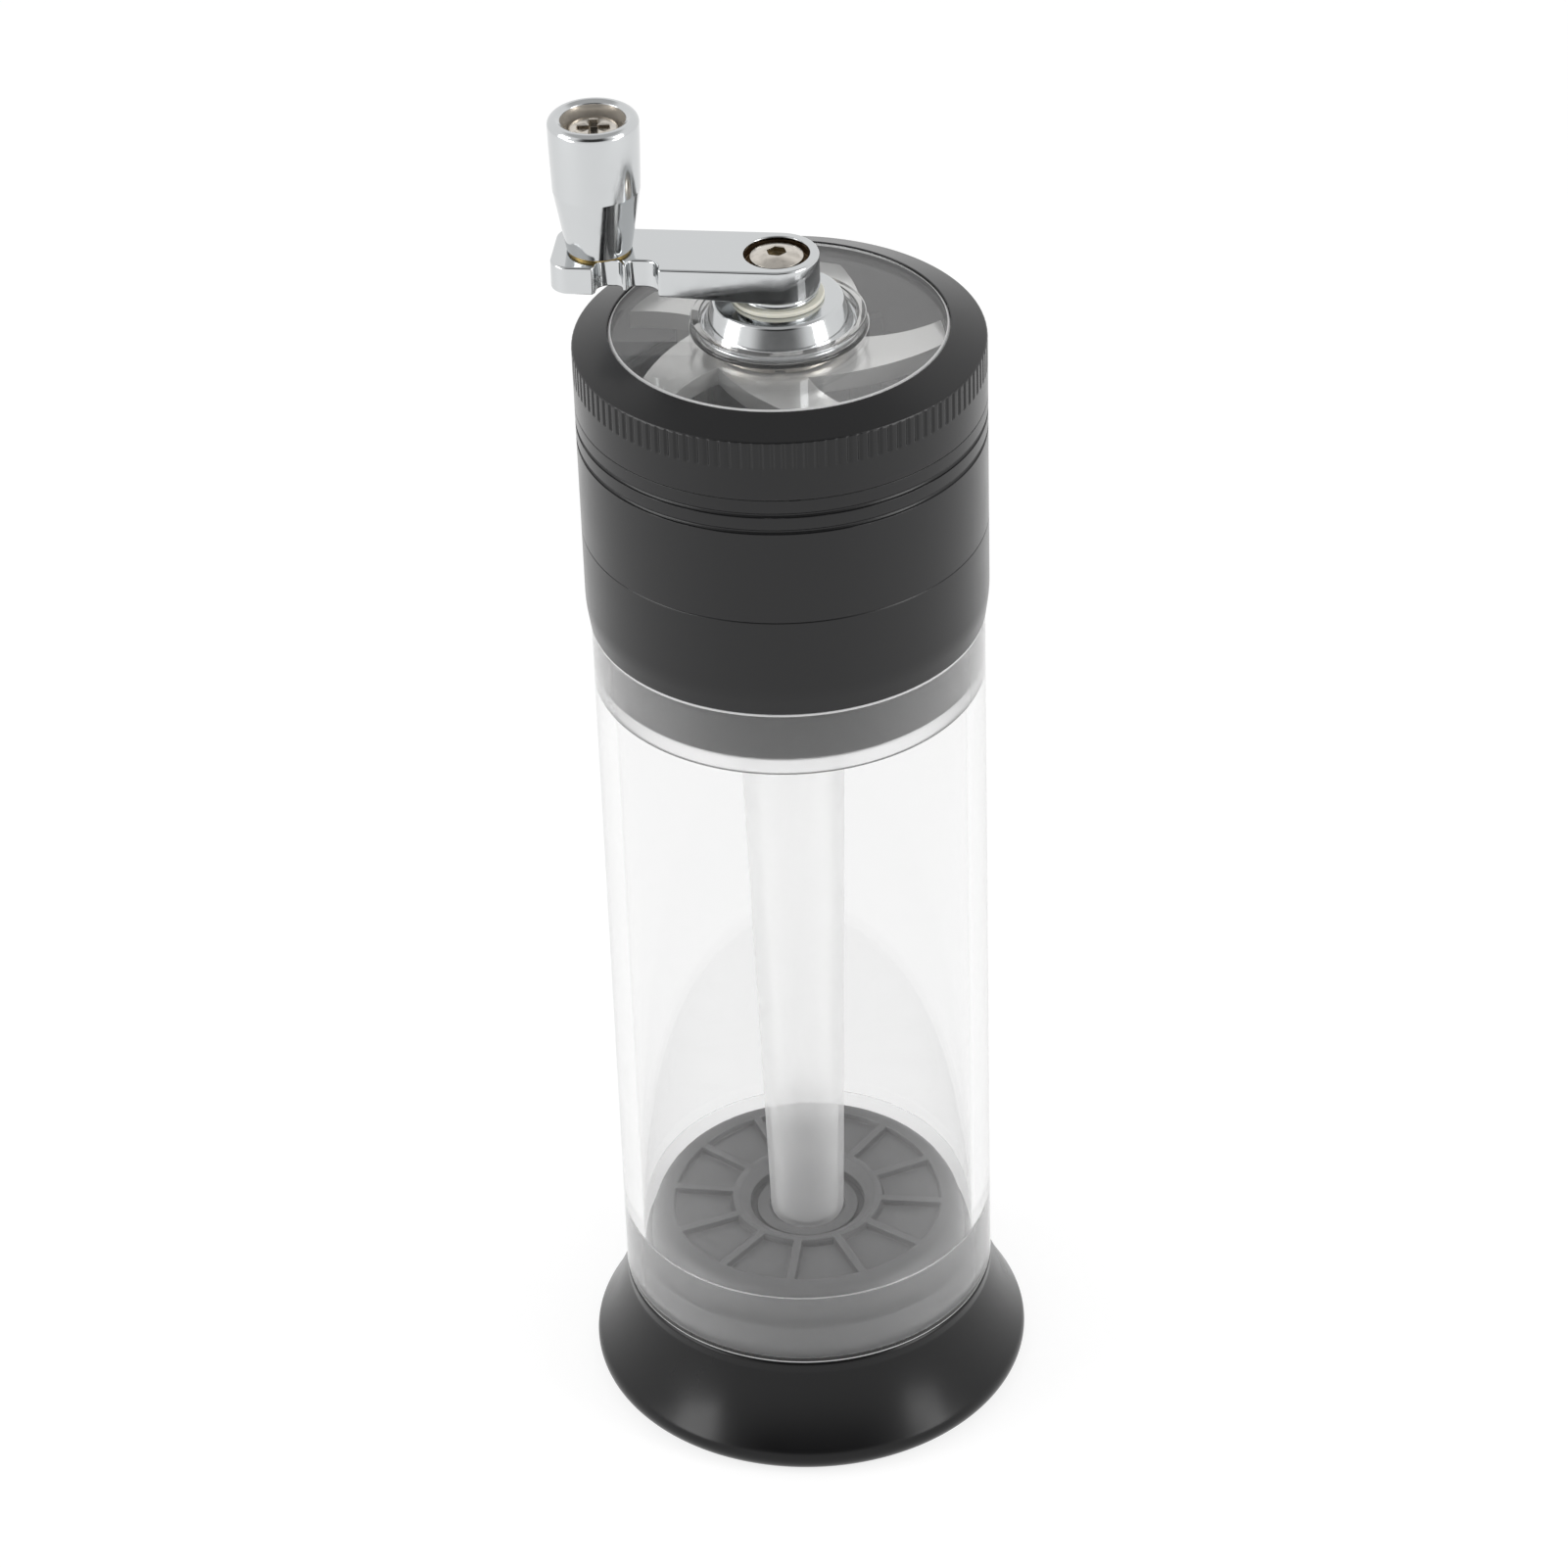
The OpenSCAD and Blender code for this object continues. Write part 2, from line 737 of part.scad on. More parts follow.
module lid_ring() {
    flute_z = lid_z + lid_band;
    color(matt_black)
        difference() {
            union() {
                rotate_extrude()
                    polygon([
                        [0, lid_z], [head_r - head_edge, lid_z], [head_r, lid_z + head_edge],
                        [head_r, lid_edge_z - head_edge], [head_r - head_edge, lid_edge_z],
                        [window_r + free_gap, window_top], [0, window_top]
                    ]);
                disc(skirt_r, spigot_low_z, lid_z + tiny_cut);
            }
            translate([0, 0, flute_z])
                linear_extrude(height = flute_h)
                    around(flute_n, head_r)
                        circle(r = flute_r, $fn = 16);
            bore(window_r + slide_fit, ledge_z, window_top);
            cavity(window_rim_r + slide_fit, lid_z, ledge_z);
            cavity(lid_bore_r, spigot_low_z, window_z - retainer_h);
        }
}

module window() {
    color(clear)
        difference() {
            union() {
                disc(window_r, window_z, window_top);
                disc(window_rim_r, window_z, window_z + window_rim_t);
                disc(boss_r, window_z, window_top + boss_h);
            }
            well(hub_r + snug_gap, window_top, window_top + boss_h);
            bore(hub_neck_r + slide_fit, window_z, window_top);
        }
}

module window_gasket() {
    color(rubber)
        ring(window_rim_r, window_r + slide_fit, ledge_z - gasket_t, ledge_z);
}

module window_retainer() {
    color(matt_black)
        ring(window_rim_r, window_rim_r - retainer_w, window_z - retainer_h, window_z);
}

module hub_bush() {
    round_at = [hub_top_r - hub_round, hub_top - hub_round];
    color(chrome)
        difference() {
            union() {
                rotate_extrude()
                    union() {
                        polygon([
                            [0, window_top], [hub_r, window_top], [hub_r, window_top + hub_foot_h],
                            [hub_top_r, round_at[1]], [0, round_at[1]]
                        ]);
                        translate([0, round_at[1]])
                            square([round_at[0], hub_round]);
                        translate(round_at)
                            circle(r = hub_round, $fn = 32);
                    }
                disc(hub_neck_r, bush_z, window_top + tiny_cut);
            }
            bore(bush_r, bush_z, hub_top);
        }
}

module bush_nut() {
    color(steel)
        difference() {
            disc(hub_nut_d / 2, nut_z, window_z);
            bore(hub_neck_r, nut_z, window_z);
            around(nut_notch_n, hub_nut_d / 2)
                bore(nut_notch_r, nut_z, window_z);
        }
}

module drive_shaft() {
    color(steel)
        difference() {
            union() {
                disc(shaft_r, rotor_z, arm_z);
                rotate([0, 0, crank_turn])
                    square_post(square_w, arm_z - tiny_cut, square_top);
            }
            well(arm_screw_d / 2, arm_floor - arm_screw_len, square_top);
        }
}

// One curved blade, in plan
module blade_section() {
    half = blade_tip_angle / 2;
    trail_at = meet([0, -rotor_hub_r], blade_trail_r, polar(rotor_r, -half), blade_trail_r);
    lead_at = meet([rotor_hub_r - tiny_cut, 0], blade_lead_r, polar(rotor_r, half), blade_lead_r);
    intersection() {
        circle(r = rotor_r);
        translate([0, -rotor_r])
            square([rotor_r, 2 * rotor_r]);
        difference() {
            translate(trail_at)
                circle(r = blade_trail_r, $fn = 360);
            translate(lead_at)
                circle(r = blade_lead_r, $fn = 360);
        }
    }
}

module rotor() {
    color(chrome)
        difference() {
            union() {
                disc(rotor_hub_r, rotor_z, rotor_top);
                translate([0, 0, rotor_z])
                    linear_extrude(height = blade_t)
                        around(blade_n, 0, blade_turn)
                            blade_section();
                around(blade_n, rotor_outer_ring_r, blade_turn - outer_tooth_lag)
                    tooth(rotor_tooth_z, rotor_z + tiny_cut);
                around(blade_n, rotor_inner_ring_r, blade_turn - inner_tooth_lag)
                    tooth(rotor_tooth_z, rotor_z + tiny_cut);
                disc(magnet_d / 2 + magnet_wall, rotor_tooth_z, rotor_z + tiny_cut);
            }
            well(shaft_r, rotor_z, rotor_top);
            cavity(magnet_d / 2 + slide_fit, rotor_tooth_z, rotor_tooth_z + magnet_t);
        }
}

module rotor_magnet() {
    color(steel)
        disc(magnet_d / 2, rotor_tooth_z, rotor_tooth_z + magnet_t);
}

module thrust_washer() {
    color(steel)
        ring(hub_neck_r - free_gap, bush_r, thrust_z, bush_z);
}

module nylon_washer() {
    color(nylon_white)
        ring(nylon_d / 2, bush_r, hub_top, neck_z);
}

// Plan of the crank arm: the drive shaft is at the origin and the knob on +X
module arm_plan() {
    half = arm_w / 2;
    end = crank_reach + arm_end;
    near_at = crank_reach - near_scallop_r;
    far_at = crank_reach - 2 * near_scallop_r - far_scallop_r;
    horn_from = far_at - far_scallop_r + snug_gap;
    difference() {
        union() {
            circle(r = half);
            translate([0, -half])
                square([end - arm_corner, arm_w]);
            translate([0, arm_corner - half])
                square([end, arm_w - 2 * arm_corner]);
            for (side = [-1, 1])
                translate([end - arm_corner, side * (half - arm_corner)])
                    circle(r = arm_corner);
        }
        translate([near_at, waist_half + near_scallop_r])
            circle(r = near_scallop_r);
        translate([far_at, waist_half + far_scallop_r])
            circle(r = far_scallop_r);
        translate([horn_from, horn_half])
            square([crank_reach - horn_from, arm_w]);
    }
}

// The arm's belly, which falls from the waist to the drive shaft
module arm_belly() {
    low = arm_z - arm_sag;
    high = arm_z + tiny_cut;
    waist = crank_reach - 2 * near_scallop_r - 2 * far_scallop_r;
    intersection() {
        translate([0, 0, low])
            linear_extrude(height = high - low)
                arm_plan();
        rotate([90, 0, 0])
            linear_extrude(height = 2 * arm_w, center = true)
                polygon([[-arm_w, low], [0, low], [waist, arm_z], [waist, high], [-arm_w, high]]);
    }
}

module crank_arm() {
    color(chrome)
        rotate([0, 0, crank_turn])
            difference() {
                union() {
                    translate([0, 0, arm_z])
                        linear_extrude(height = arm_t)
                            arm_plan();
                    arm_belly();
                    disc(neck_d / 2, neck_z, arm_z + tiny_cut);
                }
                cavity(shaft_r + slide_fit, neck_z, arm_z);
                square_post(square_w + 2 * slide_fit, neck_z, square_top);
                bore(arm_screw_d / 2 + slide_fit, arm_z, arm_floor);
                well(arm_bore_d / 2, arm_floor, arm_top);
                translate([crank_reach, 0, 0])
                    bore(knob_thread_d / 2, arm_top - knob_thread_len, arm_top);
            }
}

module arm_screw() {
    head_r2 = arm_head_d / 2;
    dome_r = (head_r2 * head_r2 + arm_dome_h * arm_dome_h) / (2 * arm_dome_h);
    color(steel)
        difference() {
            union() {
                disc(arm_screw_d / 2, arm_floor - arm_screw_len, arm_floor + tiny_cut / 2);
                intersection() {
                    disc(head_r2, arm_floor, arm_floor + arm_head_h);
                    translate([0, 0, arm_floor + arm_head_h - dome_r])
                        sphere(r = dome_r);
                }
            }
            translate([0, 0, arm_floor + arm_head_h / 2])
                cylinder(d = hexagon_d(hex_w), h = arm_head_h, $fn = 6);
        }
}

module at_knob() {
    rotate([0, 0, crank_turn])
        translate([crank_reach, 0, 0])
            children();
}

module knob_screw() {
    head_z = recess_z + slide_fit;
    head_top = head_z + knob_head_h;
    color(steel)
        at_knob()
            difference() {
                union() {
                    disc(knob_thread_d / 2, arm_top - knob_thread_len, arm_top + tiny_cut / 2);
                    disc(pivot_d / 2, arm_top, head_z);
                    disc(knob_head_d / 2, head_z, head_top);
                }
                for (turn = [0, 90])
                    rotate([0, 0, turn])
                        translate([-cross_len / 2, -cross_w / 2, head_top - cross_depth])
                            cube([cross_len, cross_w, cross_depth + tiny_cut]);
            }
}

module knob_washer() {
    color(brass)
        at_knob()
            ring(brass_d / 2, pivot_d / 2 + slide_fit, arm_top, knob_z);
}

module knob() {
    rim_at = [knob_d / 2 - knob_rim_r, knob_top - knob_rim_r];
    color(chrome)
        at_knob()
            difference() {
                rotate_extrude()
                    union() {
                        polygon([
                            [0, knob_z], [knob_foot_d / 2, knob_z],
                            [knob_mid_d / 2, knob_z + knob_cone_h], [knob_d / 2, rim_at[1]],
                            [0, rim_at[1]]
                        ]);
                        translate(rim_at)
                            circle(r = knob_rim_r, $fn = 48);
                        translate([0, rim_at[1]])
                            square([rim_at[0], knob_rim_r]);
                    }
                bore(pivot_d / 2 + slide_fit, knob_z, knob_top);
                well(recess_d / 2, recess_z, knob_top);
            }
}

foot_flare();
foot_pad();
foot_screws();
tube_plug();
fill_tube();
clear_tube();
head_collar();
tube_spigot();
funnel();
grinding_chamber();
chamber_magnet();
lid_ring();
window();
window_gasket();
window_retainer();
hub_bush();
bush_nut();
drive_shaft();
rotor();
rotor_magnet();
thrust_washer();
nylon_washer();
crank_arm();
arm_screw();
knob_screw();
knob_washer();
knob();
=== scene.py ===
"""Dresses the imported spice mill: its shapes and finishes, the floor, the light and the camera."""

import math

import bmesh
import bpy
import numpy as np
from mathutils import Matrix, Vector
from mathutils.geometry import tessellate_polygon

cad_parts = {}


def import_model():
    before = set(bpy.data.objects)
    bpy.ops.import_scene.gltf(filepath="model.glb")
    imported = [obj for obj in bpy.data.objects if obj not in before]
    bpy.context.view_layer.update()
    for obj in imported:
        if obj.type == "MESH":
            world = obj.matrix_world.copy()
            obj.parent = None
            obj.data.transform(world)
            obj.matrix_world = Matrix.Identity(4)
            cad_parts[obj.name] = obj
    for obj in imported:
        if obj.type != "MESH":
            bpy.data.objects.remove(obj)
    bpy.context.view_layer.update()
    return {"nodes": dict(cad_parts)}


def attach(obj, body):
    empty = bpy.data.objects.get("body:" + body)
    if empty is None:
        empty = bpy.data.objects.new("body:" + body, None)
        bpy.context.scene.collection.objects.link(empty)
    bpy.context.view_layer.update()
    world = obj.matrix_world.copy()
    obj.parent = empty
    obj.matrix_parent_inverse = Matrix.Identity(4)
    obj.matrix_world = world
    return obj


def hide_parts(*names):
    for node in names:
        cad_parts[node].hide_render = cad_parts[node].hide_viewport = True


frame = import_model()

bl_info = {
    "name": "Hand cranked spice mill",
    "version": (1, 0, 0),
    "blender": (4, 5, 0),
    "location": "3D View > Sidebar > Spice mill",
    "description": "Builds the shapes and finishes of a hand cranked spice mill around its packed solids",
    "category": "Add Mesh",
}

MM = 0.001
COLUMNS = 288  # of a turned piece

# Levels in mm where two pieces meet
FOOT_TOP = 19.1
SOCKET = 27.5
PLUG_TOP = 31.1
TUBE_TOP = 144.6
FLANGE_BASE = 148.2
FUNNEL_SEAT = 149.8
COLLAR_TOP = 161
LID_BASE = 181.8
RETAINER_BASE = 188.8
BUSH_BASE = 189.5
WINDOW_BASE = 190.8
WINDOW_FLANGE = 192
WINDOW_TOP = 193.6
HUB_TOP = 198.3
NECK_BASE = 199
ARM_TOP = 205.5
KNOB_BASE = 205.9

# Main radii in mm
HEAD_R = 30.65
TUBE_R = 30
SEAT_R = 27.5
WINDOW_R = 26.8
SHAFT_BORE_R = 4.05
KNOB_BORE_R = 2.55
MAGNET_R = 4


# Sizes and colours


def linear(code):
    """Linear colour of an sRGB hex code."""
    srgb = np.array([int(code[i : i + 2], 16) for i in (1, 3, 5)]) / 255
    return tuple(np.where(srgb <= 0.04045, srgb / 12.92, ((srgb + 0.055) / 1.055) ** 2.4))


def length(name, description, default_mm):
    """A size that Blender shows as a length."""
    return bpy.props.FloatProperty(
        name=name, description=description, default=default_mm * MM, min=0, unit="LENGTH", precision=5
    )


def colour(name, description, code):
    """A colour that Blender shows as a swatch."""
    return bpy.props.FloatVectorProperty(
        name=name, description=description, default=linear(code), size=3, min=0, max=1, subtype="COLOR"
    )


class MillSizes(bpy.types.PropertyGroup):
    """Small sizes of the mill's finish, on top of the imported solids."""

    broken_edge: length("Broken edge", "Rounding of the turned pieces' edges", 0.12)
    lid_edge: length("Lid edge", "Rounding of the lid's outer edge", 0.45)
    window_edge: length("Window edge", "Width of the window's polished chamfer", 0.4)
    boss_round: length("Clear boss rounding", "Rounding of the clear ring around the hub", 0.25)
    arm_round: length("Arm rounding", "Rounding of the crank arm's upper edge", 0.35)
    arm_draft: length("Arm draft", "How far the crank arm's walls lean in towards the top", 0.06)
    rib_round: length("Rib rounding", "Width of the soft edge of the plug's ribs", 0.28)
    flute_depth: length("Flute depth", "Depth of the lid's flutes", 0.22)
    end_edge: length("Tube edge", "Rounding of the clear tube's ends", 0.45)
    cast_wave: length("Casting wave", "Size of the waves in the chromed casting", 7)
    blast_grain: length("Blast grain", "Grain of the blasted metal, drawn coarse enough to show", 0.3)


class MillColours(bpy.types.PropertyGroup):
    """Colours of the mill's materials."""

    black_anodised: colour("Black anodised metal", "Dyed and blasted aluminium of the head", "#171718")
    milled: colour("Milled metal", "Inside of the grinding chamber, where the dye is thin", "#4c4c4d")
    foot_plastic: colour("Foot plastic", "Polished black plastic of the foot", "#101011")
    plug_grey: colour("Plug", "Dark grey anodised plug in the foot", "#575758")
    # Painted shade: a darker grey for the plug's pocket walls and well groove, where shade falls.
    plug_painted_shade: colour("Plug corners", "Walls of the plug's pockets, where the dye settles", "#303031")
    acrylic: colour("Acrylic", "Tint of the clear acrylic", "#f8f8f8")
    milky: colour("Milky plastic", "Milky plastic of the fill tube", "#fbfbfb")
    chrome: colour("Chrome", "Chrome of hub, arm and knob", "#c9cbcc")
    tumbled_chrome: colour("Tumbled chrome", "Pale satin chrome of the rotor", "#f8f8f6")
    recess: colour("Recess", "Unpolished chrome in the knob's recess", "#d9d3ca")
    nickel: colour("Nickel", "Nickel on the screws", "#cfc9c0")
    # A dull dark brown for the lower wall and floor of the arm's counterbore, round the screw head.
    counterbore_brown: colour("Bare zinc", "Unplated metal inside the counterbore", "#6b5a45")
    socket_steel: colour("Socket steel", "Thinly plated steel inside the arm screw's hexagon", "#8c8068")
    nylon: colour("Nylon", "Nylon washer under the arm", "#e3e1d4")
    brass: colour("Brass", "Brass washer under the knob", "#a8905a")
    rubber: colour("Rubber", "Rubber of pad and gasket", "#1d1d1d")


# Materials


def add(tree, kind, inputs=None, **settings):
    """Adds a node, sets its settings, and fills its inputs with values or links. A node given as a value is
    linked by its first output."""
    node = tree.nodes.new("ShaderNode" + kind)
    for name, value in settings.items():
        setattr(node, name, value)
    for name, value in (inputs or {}).items():
        if isinstance(value, bpy.types.Node):
            value = value.outputs[0]
        if isinstance(value, bpy.types.NodeSocket):
            tree.links.new(value, node.inputs[name])
        else:
            node.inputs[name].default_value = value
    return node


def finish(name):
    """A new material without nodes, and the node tree that its maker fills."""
    material = bpy.data.materials.new(name)
    material.use_nodes = True
    material.node_tree.nodes.clear()
    return material, material.node_tree


def out(tree, shader):
    """Sends a shader to the material's output."""
    add(tree, "OutputMaterial", {"Surface": shader})


def grain(tree, size, detail=2, stretch=(1, 1, 1)):
    """Noise whose grains are size metres wide, on the piece's own coordinates."""
    place = add(tree, "TexCoord")
    scaled = add(tree, "Mapping", {"Vector": place.outputs["Object"], "Scale": stretch})
    return add(tree, "TexNoise", {"Vector": scaled, "Scale": 1 / size, "Detail": detail})


def spread(tree, value, low, high):
    """A noise's middle range brought to the range from low to high."""
    ends = {"From Min": 0.3, "From Max": 0.7, "To Min": low, "To Max": high}
    return add(tree, "MapRange", {"Value": value, **ends})


def rgba(value):
    """A colour property with its alpha."""
    return (*value, 1)


def colours():
    """The scene's colours for the mill."""
    return bpy.context.scene.mill_colours


def surface(name, tint, mottle, roughness, relief=(), bumps=(), **more):
    """A material with one shader. Its roughness follows the noise mottle between two values, and the noise
    relief bumps it with a strength and a depth. A noise is given as grain's values, and further inputs by
    their names."""
    material, tree = finish(name)
    inputs = {"Base Color": rgba(tint), "Roughness": spread(tree, grain(tree, *mottle), *roughness)}
    if relief:
        strength, depth = bumps
        height = {"Height": grain(tree, *relief), "Strength": strength, "Distance": depth}
        inputs["Normal"] = add(tree, "Bump", height)
    inputs.update({name.replace("_", " "): value for name, value in more.items()})
    out(tree, add(tree, "BsdfPrincipled", inputs))
    return material


def blasted():
    """Grain's values for a fine blasted surface."""
    return bpy.context.scene.mill_sizes.blast_grain, 3


def black_anodised():
    """Blasted aluminium with a dyed oxide layer: a dull, even black with a fine grain and a soft sheen."""
    return surface(
        "black_anodised_aluminium", colours().black_anodised, (9 * MM,), (0.22, 0.27),
        blasted(), (0.2, 0.015 * MM), Specular_IOR_Level=0.38,
    )


def milled_anodised():
    """The chamber's inside as the cutter leaves it, thinly dyed: dark grey, softly glossy, finely marked."""
    marks = (0.6 * MM, 3, (1, 1, 0.2))
    return surface(
        "milled_aluminium", colours().milled, marks, (0.35, 0.5), marks, (0.15, 0.01 * MM), Metallic=0.3,
    )


def foot_plastic():
    """Injection moulded plastic with a polished skin: deep black, soft lights and a faint orange peel."""
    return surface(
        "polished_black_plastic", colours().foot_plastic, (14 * MM, 4), (0.2, 0.28),
        (2.2 * MM,), (0.1, 0.02 * MM), Specular_IOR_Level=0.27,
    )


def blasted_grey(name, tint):
    """Anodised aluminium, fine blasted: an even grey without gloss."""
    return surface(name, tint, (6 * MM,), (0.42, 0.52), blasted(), (0.1, 0.008 * MM), Metallic=0.15)


def plug_metal():
    """The plug's dark grey."""
    return blasted_grey("grey_anodised_aluminium", colours().plug_grey)


def plug_painted_shade():
    """Painted shade: a darker grey on the walls of the plug's pockets and in the groove round its well."""
    return blasted_grey("plug_painted_shade_grey", colours().plug_painted_shade)


def clear_plastic(name, roughness, stretch, size, haze=0):
    """Clear acrylic that lets the lamps through, with the faint lines that its making leaves. haze is the
    share of light that the surface scatters."""
    material, tree = finish(name)
    tint = rgba(colours().acrylic)
    height = grain(tree, size, stretch=stretch)
    lines = add(tree, "Bump", {"Height": height, "Strength": 0.3, "Distance": 0.01 * MM})
    body = add(tree, "BsdfPrincipled", {
        "Base Color": tint,
        "Roughness": roughness,
        "IOR": 1.49,
        "Transmission Weight": 1.0,
        "Normal": lines,
    })
    if haze:
        white = add(tree, "BsdfDiffuse", {"Color": (0.9, 0.9, 0.9, 1), "Normal": lines})
        body = add(tree, "MixShader", {0: haze, 1: body, 2: white})
    clear = add(tree, "BsdfTransparent", {"Color": tint})
    shadow = add(tree, "LightPath").outputs["Is Shadow Ray"]
    out(tree, add(tree, "MixShader", {0: shadow, 1: body, 2: clear}))
    return material


def tube_acrylic():
    """Drawn acrylic tube, flame polished: water clear, with faint lines along its length."""
    return clear_plastic("drawn_clear_acrylic", 0.0, (1, 1, 0.02), 3 * MM)


def window_acrylic():
    """Moulded and polished acrylic: clear and almost flat, with the faint veil that spice dust leaves."""
    return clear_plastic("moulded_clear_acrylic", 0.0, (1, 1, 1), 12 * MM, 0.045)


def turned_acrylic():
    """Acrylic as the lathe leaves it in the tube's seats: frosted, with fine turning lines."""
    return clear_plastic("turned_clear_acrylic", 0.38, (0.02, 0.02, 1), 0.3 * MM, 0.05)


def sawn_acrylic():
    """Acrylic's sawn and scraped edges: nearly white, as they scatter the light inside the sheet."""
    return clear_plastic("sawn_clear_acrylic", 0.45, (1, 1, 1), 0.2 * MM, 0.7)


def milky_plastic():
    """Thin moulded polypropylene: each wall lets most light straight through, blurs a part of it and turns
    paler where it is seen from the side, so that what lies behind shows soft and pale. A soft gloss on
    top."""
    material, tree = finish("milky_polypropylene")
    tint = rgba(colours().milky)
    cloud = grain(tree, 5 * MM, 3)
    skin = add(tree, "BsdfPrincipled", {
        "Base Color": tint,
        "Roughness": spread(tree, cloud, 0.25, 0.35),
        "Normal": add(tree, "Bump", {"Height": cloud, "Strength": 0.2, "Distance": 0.02 * MM}),
    })
    clear = add(tree, "BsdfTransparent", {"Color": (1, 1, 1, 1)})
    blurred = add(tree, "BsdfRefraction", {"Color": tint, "Roughness": 0.36, "IOR": 1.14})
    shadow = add(tree, "LightPath").outputs["Is Shadow Ray"]
    share = add(tree, "MapRange", {"Value": shadow, "To Min": 0.22, "To Max": 0.0})
    body = add(tree, "MixShader", {0: share, 1: clear, 2: blurred})
    side = add(tree, "LayerWeight", {"Blend": 0.5}).outputs["Facing"]
    veil = add(tree, "MapRange", {"Value": side, "From Min": 0.1, "To Min": 0.09, "To Max": 0.26})
    out(tree, add(tree, "MixShader", {0: veil, 1: body, 2: skin}))
    return material


def cast_chrome():
    """Chrome on a polished zinc casting: a mirror with slow waves and a few dull spots."""
    wave = (bpy.context.scene.mill_sizes.cast_wave, 1.5)
    return surface(
        "chromed_zinc_casting", colours().chrome, (2.5 * MM, 4), (0.05, 0.11),
        wave, (0.5, 0.12 * MM), Metallic=1.0,
    )


def turned_chrome():
    """Chrome on turned steel: a soft mirror with hardly any wave."""
    return surface(
        "chromed_turned_steel", colours().chrome, (2 * MM, 4), (0.08, 0.15),
        (6 * MM, 1), (0.3, 0.06 * MM), Metallic=1.0,
    )


def satin_chrome():
    """Tumbled and chromed steel plate, as the rotor's blades are: pale, with a soft blur."""
    dents = (3 * MM, 2)
    return surface(
        "tumbled_chromed_steel", colours().tumbled_chrome, dents, (0.17, 0.22),
        dents, (0.05, 0.005 * MM), Metallic=0.5,
    )


def recess_chrome():
    """The knob's recess, which the polishing wheel doesn't reach: thin, cream grey and blurred."""
    marks = (0.8 * MM, 3)
    return surface(
        "unpolished_chrome", colours().recess, marks, (0.16, 0.26), marks, (0.2, 0.01 * MM), Metallic=0.5,
    )


def screw_nickel():
    """Nickel on cold headed steel: a warm soft mirror, stained in places."""
    material, tree = finish("nickelled_steel")
    nickel = colours().nickel
    stain = grain(tree, 1.4 * MM, 4)
    tint = add(tree, "ValToRGB", {"Fac": stain})
    stained, clean = tint.color_ramp.elements
    stained.position, stained.color = 0.3, rgba([0.75 * c for c in nickel])
    clean.position, clean.color = 0.55, rgba(nickel)
    out(tree, add(tree, "BsdfPrincipled", {
        "Base Color": tint,
        "Metallic": 1.0,
        "Roughness": spread(tree, stain, 0.12, 0.24),
    }))
    return material


def plain_metal(name, tint, roughness):
    """A bare metal with turning marks around Z, dull between the marks."""
    marks = (0.25 * MM, 3, (0.04, 0.04, 1))
    return surface(name, tint, marks, roughness, marks, (0.2, 0.01 * MM), Metallic=1.0)


def counterbore_brown():
    """A dull, dark brown metal for the lower wall and floor of the arm's counterbore."""
    return plain_metal("counterbore_dull_brown", colours().counterbore_brown, (0.35, 0.55))


def socket_steel():
    """Steel inside the pressed hexagon, where plating is thin: olive brown and dull."""
    return plain_metal("pressed_steel", colours().socket_steel, (0.3, 0.45))


def brass():
    """Stamped brass: yellow, slightly tarnished."""
    return plain_metal("stamped_brass", colours().brass, (0.25, 0.4))


def nylon():
    """Moulded nylon: cream, waxy, a little see-through."""
    return surface(
        "moulded_nylon", colours().nylon, (1.5 * MM, 3), (0.35, 0.5),
        Subsurface_Weight=0.3, Subsurface_Radius=(1.0, 0.9, 0.7), Subsurface_Scale=0.5 * MM,
    )


def rubber():
    """Moulded nitrile rubber: dull black with a fine tooth."""
    tooth = (0.5 * MM, 3)
    return surface("moulded_rubber", colours().rubber, tooth, (0.6, 0.75), tooth, (0.3, 0.03 * MM))


def made(maker):
    """The material that maker makes, made once."""
    known = dict(bpy.context.scene.get("mill_finishes", {}))
    name = known.get(maker.__name__, "")
    if name not in bpy.data.materials:
        name = maker().name
        bpy.context.scene["mill_finishes"] = {**known, maker.__name__: name}
    return bpy.data.materials[name]


# Shapes


def unit(vectors):
    """Vectors brought to length 1 along their last axis."""
    return vectors / np.maximum(np.linalg.norm(vectors, axis=-1, keepdims=True), 1e-12)


def around(columns):
    """The angles of a full turn in equal steps."""
    return np.arange(columns) * 2 * math.pi / columns


def spokes(angle):
    """The vector (cos a, sin a, 0) for each angle a."""
    return np.stack([np.cos(angle), np.sin(angle), 0 * angle], -1)


def rounded(corners, steps=6, edge=0):
    """A closed loop through corners (x, y, radius) in mm, with edge as the radius where none is given. Each
    corner becomes the arc of its radius that touches both sides: its centre lies on the corner's bisector,
    radius / sin(half the corner's angle) away."""
    table = np.array([(*corner, edge)[:3] for corner in corners], float)
    point, radius = table[:, :2], table[:, 2]
    back, on = unit(np.roll(point, 1, 0) - point), unit(np.roll(point, -1, 0) - point)
    half = np.arccos(np.clip((back * on).sum(1), -1, 1)) / 2
    centre = point + unit(back + on) * (radius / np.sin(half))[:, None]
    start = point + back * (radius / np.tan(half))[:, None] - centre
    end = point + on * (radius / np.tan(half))[:, None] - centre
    first = np.arctan2(start[:, 1], start[:, 0])
    sweep = (np.arctan2(end[:, 1], end[:, 0]) - first + math.pi) % (2 * math.pi) - math.pi
    angle = first[:, None] + sweep[:, None] * np.linspace(0, 1, steps + 1)
    arc = np.stack([np.cos(angle), np.sin(angle)], 2) * radius[:, None, None]
    loop = (centre[:, None] + arc).reshape(-1, 2)
    apart = np.linalg.norm(loop - np.roll(loop, 1, 0), axis=1) > 1e-5
    return loop[apart]


